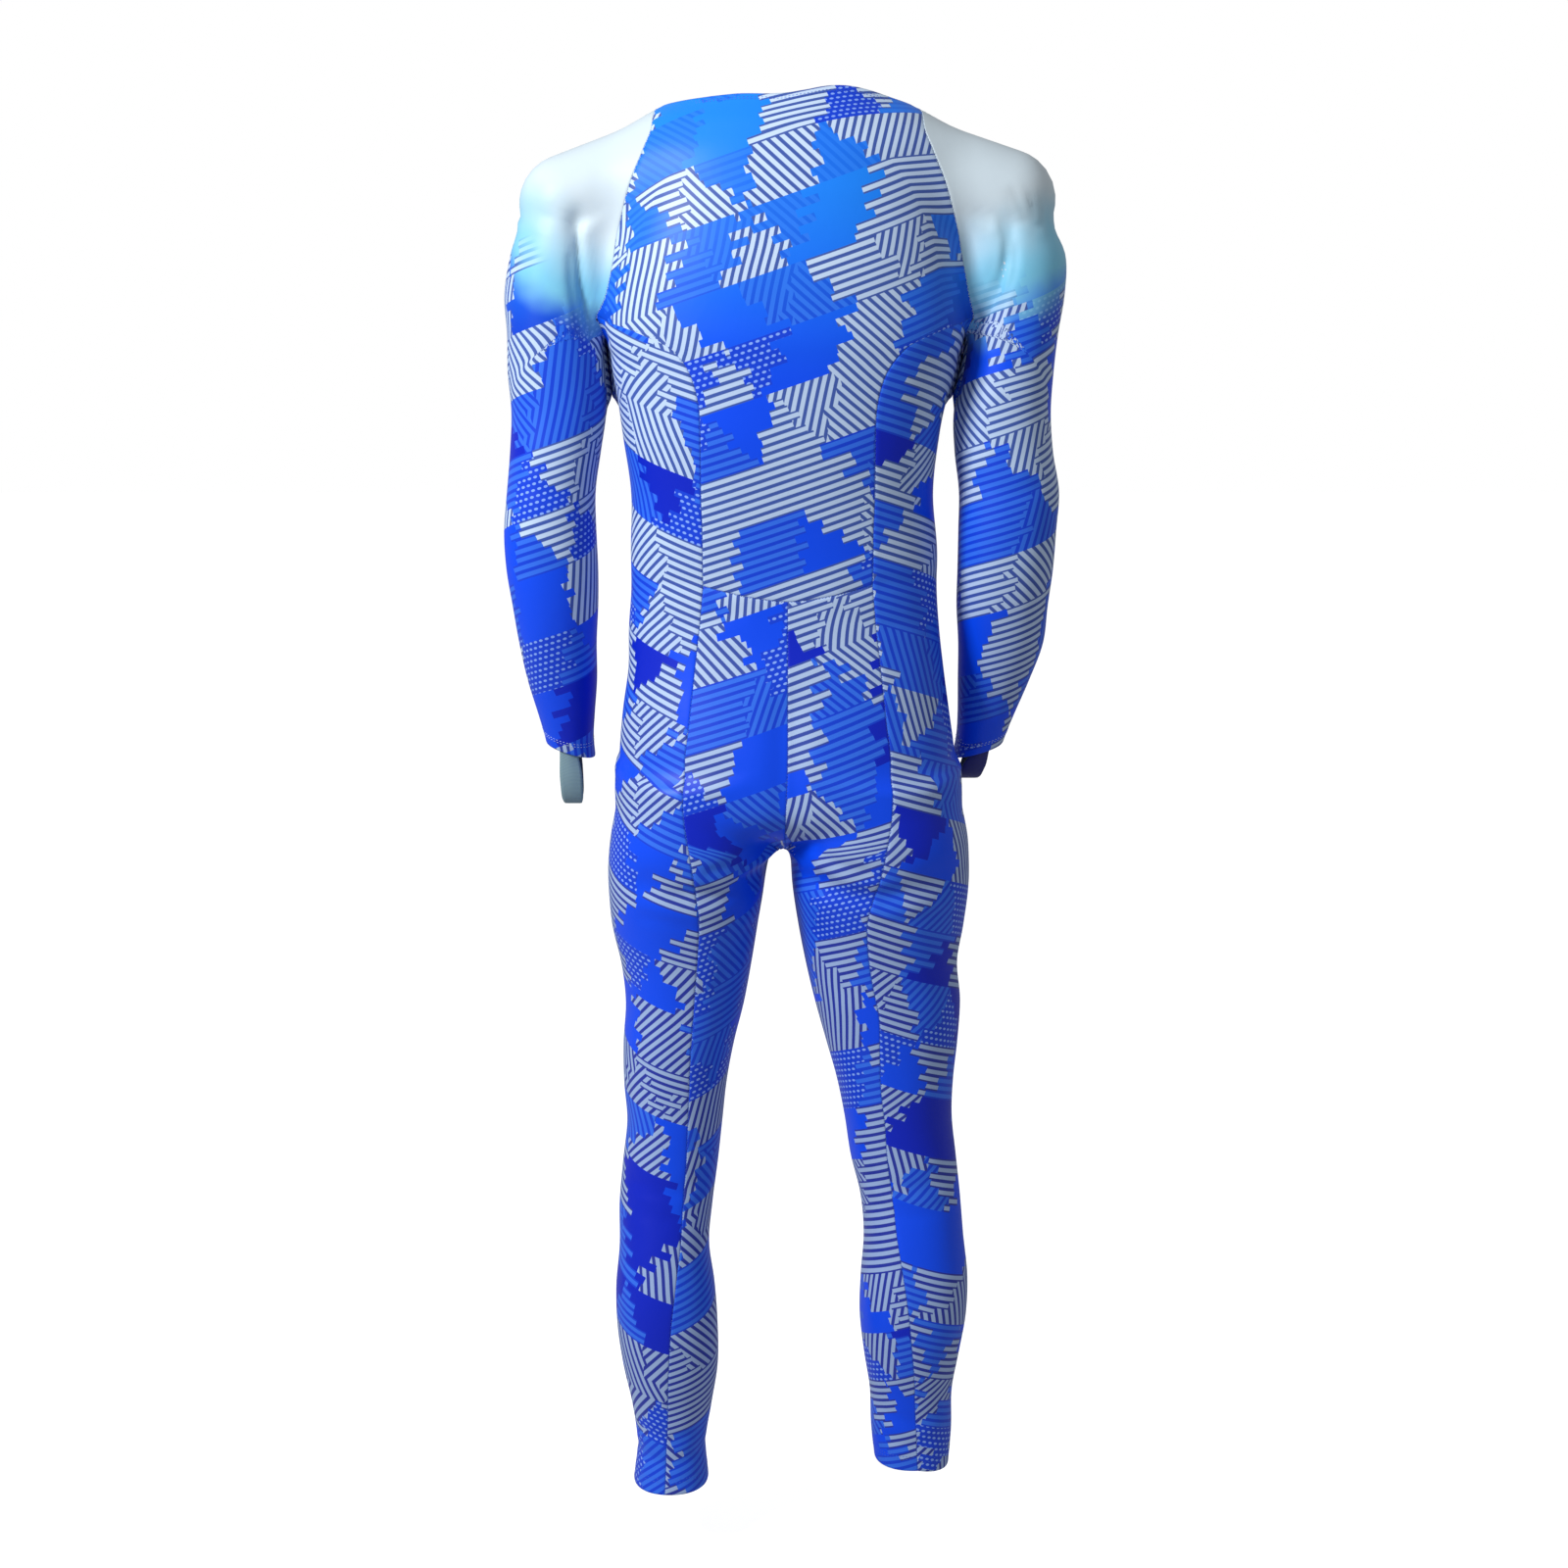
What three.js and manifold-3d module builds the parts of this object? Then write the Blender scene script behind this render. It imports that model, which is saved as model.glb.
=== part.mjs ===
import * as THREE from 'three';
import Module from 'manifold-3d';

// Millimetres. x runs to the wearer's left, +y out of the back, z up.
// The origin lies between the shoulders, level with the base of the neck.
const WALL = 2;
const SEAM_HALF = 0.15;
const LAY = 0.3;
const CUFF_OUT_Z = -622;
const CUFF_IN_Z = -640;
const HEM_LEFT_Z = -1441;
const HEM_RIGHT_Z = -1434;
const ZIP_STOP_Z = -175;
const TAPE_WIDE = 11;
const SLIDER_Z = -183;
const SLIDER_WIDE = 11;
const SLIDER_DEEP = 3.6;
const SLIDER_HIGH = 15;
const BAR_OUT = 3.1;
const BAR_ROUND = 1;
const EAR_THICK = 1.4;
const EYE_ROUND = 2.4;
const PULL_WIDE = 5;
const PULL_THICK = 1.4;
const PULL_LONG = 27;
const LOOP_WIDE = 24;
const LOOP_THICK = 1.6;

// One row for each section, from the top down; side is + for the wearer's left.
const TRUNK = {
  columns: ['z', 'x', 'wide', 'back', 'front', 'square'],
  rows: [
    [70, 0, 95, 40, 70, 2.1],
    [52, 0, 112, 54, 80, 2.1],
    [40, 0, 128, 64, 86, 2.2],
    [26, 0, 140, 72, 91, 2.3],
    [10, 0, 150, 80, 95, 2.4],
    [-10, 1, 156, 88, 100, 2.4],
    [-40, 2, 163, 98, 108, 2.5],
    [-100, 3, 178, 111, 120, 2.5],
    [-160, 3, 186, 116, 127, 2.5],
    [-180, 3, 184, 117, 128, 2.5],
    [-200, 3, 180, 116, 128, 2.5],
    [-220, 4, 176, 115, 127, 2.5],
    [-250, 6, 169, 113, 125, 2.5],
    [-281, 7, 164, 110, 122, 2.5],
    [-342, 6, 157, 100, 114, 2.4],
    [-403, 4, 160, 91, 107, 2.4],
    [-445, 4, 160, 88, 105, 2.4],
    [-486, 4, 163, 90, 105, 2.4],
    [-528, 2, 166, 98, 107, 2.4],
    [-571, 2, 172, 108, 108, 2.4],
    [-613, 1, 177, 117, 106, 2.4],
    [-645, 0, 178, 120, 101, 2.4],
    [-672, 0, 166, 114, 92, 2.3],
    [-692, 0, 132, 92, 74, 2.2],
    [-708, 0, 80, 56, 46, 2.1],
  ],
};
const LEG_LEFT = {
  columns: ['z', 'x', 'y', 'wide', 'deep'],
  rows: [
    [-640, 90, 14, 84, 100],
    [-700, 99, 16, 88, 102],
    [-735, 105, 15, 86, 99],
    [-764, 108, 14, 83, 96],
    [-807, 110, 6, 78, 90],
    [-851, 109, 2, 70, 85],
    [-895, 111, 1, 64, 80],
    [-940, 118, 1, 60, 75],
    [-984, 122, 1, 56, 70],
    [-1029, 123, 2, 52, 66],
    [-1075, 128, 5, 52, 62],
    [-1120, 133, 12, 51, 60],
    [-1166, 135, 22, 49, 60],
    [-1212, 134, 28, 54, 63],
    [-1258, 132, 29, 55, 63],
    [-1305, 129, 27, 52, 59],
    [-1352, 128, 24, 44, 51],
    [-1399, 129, 24, 38, 46],
    [-1447, 130, 25, 42, 51],
    [-1480, 133, 25, 43, 52],
  ],
};
const LEG_RIGHT = {
  columns: ['z', 'x', 'y', 'wide', 'deep'],
  rows: [
    [-640, -90, 14, 86, 100],
    [-700, -96, 16, 94, 102],
    [-735, -98, 13, 95, 98],
    [-764, -99, 10, 94, 95],
    [-807, -100, 0, 89, 88],
    [-851, -101, -6, 82, 83],
    [-895, -108, -9, 79, 79],
    [-940, -113, -11, 72, 74],
    [-984, -117, -13, 64, 70],
    [-1029, -121, -15, 59, 66],
    [-1075, -127, -15, 58, 63],
    [-1120, -135, -11, 55, 59],
    [-1166, -139, -5, 55, 59],
    [-1212, -140, -3, 59, 62],
    [-1258, -139, -5, 59, 62],
    [-1305, -138, -9, 53, 57],
    [-1352, -138, -14, 46, 50],
    [-1399, -139, -16, 45, 48],
    [-1447, -140, -16, 41, 46],
    [-1480, -140, -16, 41, 46],
  ],
};
const ARM_LEFT = {
  columns: ['z', 'x', 'y', 'wide', 'deep'],
  rows: [
    [-70, 224, -6, 50, 52],
    [-100, 231, -5, 53, 55],
    [-140, 239, -4, 52, 56],
    [-180, 240, -3, 49, 56],
    [-220, 239, -2, 50, 55],
    [-260, 237, -1, 49, 54],
    [-301, 241, 1, 47, 53],
    [-342, 246, 2, 46, 52],
    [-382, 248, 1, 48, 51],
    [-424, 247, -5, 48, 50],
    [-465, 245, -14, 45, 48],
    [-507, 244, -27, 41, 45],
    [-550, 241, -41, 37, 40],
    [-592, 238, -55, 30, 35],
    [-620, 236, -65, 26, 33],
    [-660, 232, -77, 25, 31],
  ],
};
const ARM_RIGHT = {
  columns: ['z', 'x', 'y', 'wide', 'deep'],
  rows: [
    [-70, -222, -6, 48, 52],
    [-100, -231, -5, 53, 55],
    [-140, -233, -4, 51, 56],
    [-180, -232, -3, 46, 56],
    [-220, -228, -2, 46, 55],
    [-260, -222, -1, 50, 54],
    [-301, -224, 1, 51, 53],
    [-342, -230, 2, 52, 52],
    [-382, -229, 1, 51, 51],
    [-424, -228, -5, 50, 50],
    [-465, -226, -14, 48, 48],
    [-507, -226, -27, 45, 45],
    [-550, -220, -41, 38, 40],
    [-592, -213, -55, 30, 35],
    [-620, -208, -65, 26, 33],
    [-660, -199, -77, 25, 31],
  ],
};
// The shoulder cap, a tapered rod from near the neck to the top of the arm.
const CAP = {
  columns: ['side', 'x', 'y', 'z', 'round', 'armX', 'armY', 'armZ', 'armRound'],
  rows: [
    [1, 112, -8, -8, 51, 224, -6, -49, 50],
    [-1, -112, -8, -8, 51, -222, -6, -45, 51],
  ],
};
// Soft troughs, a row each: three places in back view, how deep and how wide,
// and the face of the body they lie on (1 back, -1 front).
const FOLDS = {
  columns: ['x0', 'z0', 'x1', 'z1', 'x2', 'z2', 'depth', 'wide', 'face'],
  rows: [
    [214, -62, 211, -122, 204, -176, 5, 10, 1],
    [-222, -76, -220, -103, -198, -160, 5, 10, 1],
    [-226, -44, -240, -47, -256, -50, 2, 8, 1],
    [38, -742, 92, -756, 146, -742, 4.5, 17, 1],
    [-38, -742, -92, -756, -146, -742, 4.5, 17, 1],
    [0, -560, 0, -630, 0, -690, 7, 20, 1],
    [222, -372, 244, -380, 266, -372, 3, 11, -1],
    [-206, -372, -228, -380, -250, -372, 3, 11, -1],
    [206, -64, 204, -120, 200, -170, 4, 10, -1],
    [-206, -64, -204, -120, -196, -165, 4, 10, -1],
    [50, -690, 76, -716, 100, -760, 4, 14, -1],
    [-50, -690, -76, -716, -100, -760, 4, 14, -1],
  ],
};
// The neck edge: bearing round the neck from the back, and its heights.
const NECKLINE = {
  columns: ['bearing', 'left', 'right'],
  rows: [
    [0, 62, 62],
    [20, 61, 65],
    [45, 61, 69],
    [62, 58, 67],
    [78, 53, 56],
    [90, 46, 46],
    [104, 36, 36],
    [122, 20, 20],
    [142, 5, 5],
    [155, -4, -4],
    [180, -12, -12],
  ],
};
// The raglan seams from the neck edge to the underarm, back and front.
const RAGLAN_BACK = {
  columns: ['x', 'y', 'z'],
  rows: [
    [127, 2, 47],
    [141, 36, 17],
    [158, 60, -25],
    [173, 74, -80],
    [182, 56, -130],
  ],
};
const RAGLAN_FRONT = {
  columns: ['x', 'y', 'z'],
  rows: [
    [118, -42, 31],
    [132, -68, 2],
    [149, -88, -40],
    [165, -94, -85],
    [178, -66, -132],
  ],
};
// The princess seams, back and front alike, station by station; rise tells
// how high the middle of the side panel is at that station.
const PRINCESS = {
  columns: ['x', 'z', 'rise'],
  rows: [
    [187, -165, -190],
    [186, -164, -196],
    [176, -166, -204],
    [162, -168, -214],
    [140, -172, -233],
    [117, -187, -254],
    [99, -210, -275],
    [90, -240, -296],
    [88, -272, -317],
    [88, -306, -338],
    [88, -340, -360],
    [87, -374, -384],
    [87, -404, -408],
    [87, -430, -432],
    [90, -466, -466],
    [94, -502, -502],
    [98, -538, -538],
    [102, -574, -574],
    [106, -608, -608],
    [108, -640, -640],
    [107, -666, -666],
    [104, -688, -688],
    [101, -707, -707],
    [98, -728, -728],
    [95, -752, -752],
    [92, -782, -782],
    [94, -818, -818],
    [97, -856, -856],
    [100, -896, -896],
    [103, -938, -938],
    [105, -980, -980],
    [107, -1022, -1022],
    [109, -1064, -1064],
    [112, -1106, -1106],
    [115, -1148, -1148],
    [120, -1190, -1190],
    [125, -1232, -1232],
    [128, -1274, -1274],
    [130, -1316, -1316],
    [131, -1356, -1356],
    [133, -1390, -1390],
    [134, -1420, -1420],
    [135, -1441, -1441],
  ],
};
const WAIST_STATION = 13;
const CROTCH_STATION = 22;
const RAGLAN_STEPS = 8;
const UNDERARM_STEPS = 4;
const ARM_STEPS = 14;

const vec = (x, y, z) => new THREE.Vector3(x, y, z);
const mix = (a, b, t) => a + (b - a) * t;
const clamp = (v, low, high) => Math.min(high, Math.max(low, v));

function ease(from, to, v) {
  const t = clamp((v - from) / (to - from), 0, 1);
  return t * t * (3 - 2 * t);
}

// The value of a table's column at a place along its first column.
function read(table, name, at) {
  const index = table.columns.indexOf(name);
  const rows = table.rows;
  const sign = rows[1][0] > rows[0][0] ? 1 : -1;
  const last = rows.length - 1;
  const place = clamp(at * sign, rows[0][0] * sign, rows[last][0] * sign);
  let i = 0;
  while (i < last - 1 && rows[i + 1][0] * sign <= place) i += 1;
  const slope = (k) => {
    const low = Math.max(k - 1, 0);
    const high = Math.min(k + 1, last);
    return (rows[high][index] - rows[low][index]) / ((rows[high][0] - rows[low][0]) * sign);
  };
  const span = (rows[i + 1][0] - rows[i][0]) * sign;
  const t = (place - rows[i][0] * sign) / span;
  const t2 = t * t;
  const t3 = t2 * t;
  return (2 * t3 - 3 * t2 + 1) * rows[i][index] + (t3 - 2 * t2 + t) * span * slope(i)
    + (3 * t2 - 2 * t3) * rows[i + 1][index] + (t3 - t2) * span * slope(i + 1);
}

function section(dx, dy, wide, deep, square) {
  const reach = (Math.abs(dx / wide) ** square + Math.abs(dy / deep) ** square) ** (1 / square);
  return (reach - 1) * 0.5 * (wide + deep);
}

function join(a, b, soft) {
  const h = Math.max(soft - Math.abs(a - b), 0) / soft;
  return Math.min(a, b) - h * h * soft * 0.25;
}

function trunkForm(x, y, z) {
  const deep = read(TRUNK, y > 0 ? 'back' : 'front', z);
  const form = section(x - read(TRUNK, 'x', z), y, read(TRUNK, 'wide', z), deep, read(TRUNK, 'square', z));
  return Math.max(form, -712 - z);
}

function limbForm(table, x, y, z, square) {
  const dx = x - read(table, 'x', z);
  const dy = y - read(table, 'y', z);
  const form = section(dx, dy, read(table, 'wide', z), read(table, 'deep', z), square);
  return Math.max(form, z - table.rows[0][0], table.rows.at(-1)[0] - 20 - z);
}

function capForm(row, x, y, z) {
  const ax = row[5] - row[1];
  const ay = row[6] - row[2];
  const az = row[7] - row[3];
  const px = x - row[1];
  const py = y - row[2];
  const pz = z - row[3];
  const t = clamp((px * ax + py * ay + pz * az) / (ax * ax + ay * ay + az * az), 0, 1);
  const reach = Math.hypot(px - t * ax, py - t * ay, pz - t * az);
  return reach - mix(row[4], row[8], t);
}

function segmentReach(x, z, ax, az, bx, bz) {
  const dx = bx - ax;
  const dz = bz - az;
  const t = clamp(((x - ax) * dx + (z - az) * dz) / (dx * dx + dz * dz), 0, 1);
  return Math.hypot(x - ax - t * dx, z - az - t * dz);
}

function foldDepth(x, y, z) {
  let sum = 0;
  for (const row of FOLDS.rows) {
    const near = Math.min(
      segmentReach(x, z, row[0], row[1], row[2], row[3]),
      segmentReach(x, z, row[2], row[3], row[4], row[5]),
    );
    if (near < row[7] * 2.4) {
      sum += row[6] * Math.exp(-((near / row[7]) ** 2)) * ease(-4, 26, y * row[8]);
    }
  }
  return sum;
}

// Below nought inside the suit's outer face, above nought outside.
function form(x, y, z) {
  const legs = join(limbForm(LEG_LEFT, x, y, z, 2.2), limbForm(LEG_RIGHT, x, y, z, 2.2), 16);
  const body = join(trunkForm(x, y, z), legs, 26);
  const arm = x > 0 ? ARM_LEFT : ARM_RIGHT;
  const cap = x > 0 ? CAP.rows[0] : CAP.rows[1];
  const sleeve = join(limbForm(arm, x, y, z, 2.15), capForm(cap, x, y, z), 14);
  const soft = 3 + 30 * ease(-215, -110, z);
  return join(body, sleeve, soft) + foldDepth(x, y, z);
}

function outward(p) {
  const e = 0.6;
  return vec(
    form(p.x + e, p.y, p.z) - form(p.x - e, p.y, p.z),
    form(p.x, p.y + e, p.z) - form(p.x, p.y - e, p.z),
    form(p.x, p.y, p.z + e) - form(p.x, p.y, p.z - e),
  ).normalize();
}

// The first place where a ray from inside leaves the form.
function cast(from, way) {
  const at = (t) => form(from.x + way.x * t, from.y + way.y * t, from.z + way.z * t);
  let near = 0;
  let far = 0;
  let depth = at(0);
  while (depth < 0 && far < 400) {
    near = far;
    far += Math.max(1, -0.5 * depth);
    depth = at(far);
  }
  for (let k = 0; k < 22; k += 1) {
    const mid = (near + far) / 2;
    if (at(mid) < 0) near = mid;
    else far = mid;
  }
  return from.clone().addScaledVector(way, near);
}

function turn(a, b, t) {
  const angle = Math.acos(clamp(a.dot(b), -1, 1));
  if (angle < 1e-4) return a.clone();
  const s = Math.sin(angle);
  return a.clone().multiplyScalar(Math.sin((1 - t) * angle) / s)
    .addScaledVector(b, Math.sin(t * angle) / s);
}

// A smooth line through a few places, cut into equal steps.
function smoothLine(places, steps) {
  const curve = new THREE.CatmullRomCurve3(places, false, 'centripetal');
  return curve.getSpacedPoints(steps);
}

function legAxis(side, z) {
  const table = side > 0 ? LEG_LEFT : LEG_RIGHT;
  const share = ease(-440, -640, z);
  const x = mix(read(TRUNK, 'x', z), read(table, 'x', z), share);
  return vec(x, mix(0, read(table, 'y', z), share), z);
}

function trunkAxis(z) {
  return vec(read(TRUNK, 'x', z), -4, z);
}

function neckHeight(bearing) {
  const name = bearing >= 0 ? 'left' : 'right';
  return read(NECKLINE, name, Math.abs(bearing));
}

function neckPoint(bearing) {
  const rad = bearing * Math.PI / 180;
  return cast(vec(0, -8, neckHeight(bearing)), vec(Math.sin(rad), Math.cos(rad), 0));
}

function raglan(side, face, table, top, bottom) {
  const places = table.rows.slice(1).map((row) => vec(side * row[0], row[1], row[2]));
  const line = smoothLine([top, ...places, bottom], RAGLAN_STEPS);
  return line.map((p, i) => {
    if (i === 0) return top;
    if (i === RAGLAN_STEPS) return bottom;
    return cast(vec(p.x, -6, p.z), vec(0, face, 0));
  });
}

// The underarm line, in a plane between the trunk and the arm.
function underarm(side) {
  const points = [];
  for (let i = -UNDERARM_STEPS; i <= UNDERARM_STEPS; i += 1) {
    const dip = (90 - Math.abs(i) * 66 / UNDERARM_STEPS) * Math.PI / 180;
    const way = vec(0, (i <= 0 ? 1 : -1) * Math.cos(dip), -Math.sin(dip));
    let best = null;
    for (let x = 174; x <= 198; x += 0.5) {
      const centre = vec(side * x, -2, -150);
      const p = cast(centre, way);
      const reach = p.distanceTo(centre);
      if (!best || reach < best.reach) best = { reach, p };
    }
    points.push(best.p);
  }
  return points;
}

function princess(side, face, top) {
  return PRINCESS.rows.map((row, i) => {
    if (i === 0) return top;
    const hem = side > 0 ? HEM_LEFT_Z : HEM_RIGHT_Z;
    const last = i === PRINCESS.rows.length - 1;
    const z = last ? hem : row[1];
    const table = side > 0 ? LEG_LEFT : LEG_RIGHT;
    const lean = read(table, 'x', z) - side * read(LEG_LEFT, 'x', z);
    const shift = (top.x - side * 194) * Math.max(0, 1 - i / 5);
    const x = side * row[0] + shift + lean * ease(-700, -800, z);
    const y = mix(0, read(table, 'y', z), ease(-600, -700, z));
    return cast(vec(x, y, z), vec(0, face, 0));
  });
}

function stationHeight(side, i) {
  if (i === PRINCESS.rows.length - 1) return side > 0 ? HEM_LEFT_Z : HEM_RIGHT_Z;
  return PRINCESS.rows[i][1];
}

// The inner leg seam, from the crotch down.
function inseam(side) {
  const points = [];
  for (let i = CROTCH_STATION; i < PRINCESS.rows.length; i += 1) {
    const z = stationHeight(side, i);
    const axis = legAxis(side, z);
    points.push(i === CROTCH_STATION ? crotch : cast(axis, vec(-side, 0, 0)));
  }
  return points;
}

// A line down the middle of the back or front at the given heights.
function middle(face, heights, drift) {
  return heights.map((z) => cast(vec(drift(z), 0, z), vec(0, face, 0)));
}

// Rows of surface points between two seams that share their stations.
function drape(edgeA, edgeB, columns, face, options) {
  const last = edgeA.length - 1;
  return edgeA.map((a, i) => {
    if (i === 0 && (options.top || options.first)) return options.top ?? options.first;
    if (i === last && options.bottom) return options.bottom;
    const b = edgeB[i];
    const row = [a];
    for (let j = 1; j < columns; j += 1) {
      const u = j / columns;
      const bulge = 1 - Math.abs(2 * u - 1) ** 2;
      const rise = options.rise ? options.rise(i) - (a.z + b.z) / 2 : 0;
      let z = mix(a.z, b.z, u) + rise * bulge;
      if (options.top) {
        const flat = mix(edgeA[0].z, edgeB[0].z, u) + (options.rise ? (options.rise(0)
          - (edgeA[0].z + edgeB[0].z) / 2) * bulge : 0);
        z += (options.top[j].z - flat) * Math.max(0, 1 - i / 3) ** 1.5;
      }
      const centre = options.axis(z);
      const angleA = Math.atan2(a.x - centre.x, (a.y - centre.y) * face);
      let angleB = Math.atan2(b.x - centre.x, (b.y - centre.y) * face);
      if (options.round) {
        while (angleB * options.round < angleA * options.round) angleB += 2 * Math.PI * options.round;
      }
      const angle = mix(angleA, angleB, u);
      row.push(cast(centre, vec(Math.sin(angle), Math.cos(angle) * face, 0)));
    }
    row.push(b);
    return row;
  });
}

// A closed wall: the grid is its outer face, pulled back a little at every edge.
function wall(name, grid, colour, settings = {}) {
  const thick = settings.thick ?? WALL;
  const lift = settings.lift ?? 0;
  const rows = grid.length;
  const columns = grid[0].length;
  const normals = settings.normals ?? grid.map((row) => row.map((p) => outward(p)));
  const rim = [];
  for (let j = 0; j < columns - 1; j += 1) rim.push([0, j]);
  for (let i = 0; i < rows - 1; i += 1) rim.push([i, columns - 1]);
  for (let j = columns - 1; j > 0; j -= 1) rim.push([rows - 1, j]);
  for (let i = rows - 1; i > 0; i -= 1) rim.push([i, 0]);
  const midR = rows >> 1;
  const midC = columns >> 1;
  const down = grid[Math.min(midR + 1, rows - 1)][midC].clone().sub(grid[midR][midC]);
  const across = grid[midR][Math.min(midC + 1, columns - 1)].clone()
    .sub(grid[midR][midC === columns - 1 ? midC - 1 : midC]);
  const hand = across.cross(down).dot(normals[midR][midC]) > 0 ? 1 : -1;
  const moved = grid.map((row) => row.map((p) => p.clone()));
  rim.forEach(([i, j], k) => {
    const before = rim[(k + rim.length - 1) % rim.length];
    const after = rim[(k + 1) % rim.length];
    const here = grid[i][j];
    const normal = normals[i][j];
    const one = here.clone().sub(grid[before[0]][before[1]]).normalize();
    const two = grid[after[0]][after[1]].clone().sub(here).normalize();
    const inOne = normal.clone().add(normals[before[0]][before[1]]).cross(one).multiplyScalar(hand).normalize();
    const inTwo = normal.clone().add(normals[after[0]][after[1]]).cross(two).multiplyScalar(hand).normalize();
    const sum = inOne.add(inTwo);
    const scale = 2 * SEAM_HALF / Math.max(sum.lengthSq(), 1.2);
    moved[i][j].addScaledVector(sum, scale);
  });
  const places = [];
  const push = (p) => {
    places.push(p.x, p.y, p.z);
    return places.length / 3 - 1;
  };
  const outer = moved.map((row, i) => row.map((p, j) => push(p.clone().addScaledVector(normals[i][j], lift))));
  const inner = moved.map((row, i) => row.map((p, j) => push(p.clone()
    .addScaledVector(normals[i][j], lift - thick))));
  const faces = [];
  const tri = (a, b, c) => (hand > 0 ? faces.push(a, c, b) : faces.push(a, b, c));
  const flat = (a, b) => (a - b) ** 2;
  const span = (a, b) => flat(places[3 * a], places[3 * b]) + flat(places[3 * a + 1], places[3 * b + 1])
    + flat(places[3 * a + 2], places[3 * b + 2]);
  for (let i = 0; i < rows - 1; i += 1) {
    for (let j = 0; j < columns - 1; j += 1) {
      const short = span(outer[i][j], outer[i + 1][j + 1]) < span(outer[i][j + 1], outer[i + 1][j]);
      const quad = (g) => [g[i][j], g[i][j + 1], g[i + 1][j + 1], g[i + 1][j]];
      const [a, b, c, d] = quad(outer);
      const [e, f, g, h] = quad(inner);
      if (short) {
        tri(a, c, b);
        tri(a, d, c);
        tri(e, f, g);
        tri(e, g, h);
      } else {
        tri(a, d, b);
        tri(b, d, c);
        tri(e, f, h);
        tri(f, g, h);
      }
    }
  }
  rim.forEach(([i, j], k) => {
    const [m, n] = rim[(k + 1) % rim.length];
    tri(outer[i][j], outer[m][n], inner[i][j]);
    tri(outer[m][n], inner[m][n], inner[i][j]);
  });
  const geometry = new THREE.BufferGeometry();
  geometry.setAttribute('position', new THREE.Float32BufferAttribute(places, 3));
  geometry.setIndex(faces);
  geometry.computeVertexNormals();
  const mesh = new THREE.Mesh(geometry, new THREE.MeshStandardMaterial({
    color: colour,
    roughness: settings.roughness ?? 0.6,
    metalness: settings.metalness ?? 0,
  }));
  mesh.name = name;
  return mesh;
}

const crotch = cast(vec(3, 6, -660), vec(0, 0, -1));

// The sleeve's bent centre line, from the neck over the shoulder to the cuff.
function sleeveAxis(side, t) {
  const table = side > 0 ? ARM_LEFT : ARM_RIGHT;
  const cap = side > 0 ? CAP.rows[0] : CAP.rows[1];
  const places = [vec(cap[1] + side * 2, -9, 6), vec(mix(cap[1], cap[5], 0.5), -8, -18), vec(cap[5], cap[6], cap[7] - 8)];
  for (const row of table.rows.slice(2, -1)) places.push(vec(row[1], row[2], row[0]));
  const curve = new THREE.CatmullRomCurve3(places, false, 'centripetal');
  return { at: curve.getPointAt(t), along: curve.getTangentAt(t) };
}

function sleeveHalf(side, face, seam, wristZ) {
  const steps = seam.length - 1;
  const grid = [];
  for (let i = 0; i <= steps; i += 1) {
    const t = i / steps;
    const { at, along } = sleeveAxis(side, t);
    const out = vec(-along.z * side, 0, along.x * side).normalize();
    if (out.x * side < 0) out.multiplyScalar(-1);
    const outer = cast(at, out);
    const centre = i === steps ? vec(at.x, at.y, mix(CUFF_OUT_Z, CUFF_IN_Z, 0.5)) : at;
    const edge = i === steps ? cast(centre, vec(side, 0, (wristZ - centre.z) / 28).normalize()) : outer;
    const a = seam[i].clone().sub(centre).normalize();
    const b = edge.clone().sub(centre).normalize();
    const spread = (1 - a.dot(b)) / 2;
    const guide = a.clone().add(b).add(vec(0, face * 2 * spread, 0)).normalize();
    const columns = 8;
    const row = [seam[i]];
    for (let j = 1; j < columns; j += 1) {
      const u = j / columns;
      row.push(cast(centre, turn(turn(a, guide, u), turn(guide, b, u), u).normalize()));
    }
    row.push(edge);
    grid.push(row);
  }
  return grid;
}

// How far each thumb loop hangs and how far its foot swings in to the body.
const LOOPS = {
  columns: ['side', 'drop', 'swing'],
  rows: [
    [1, 62, 3],
    [-1, 34, 12],
  ],
};

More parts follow.
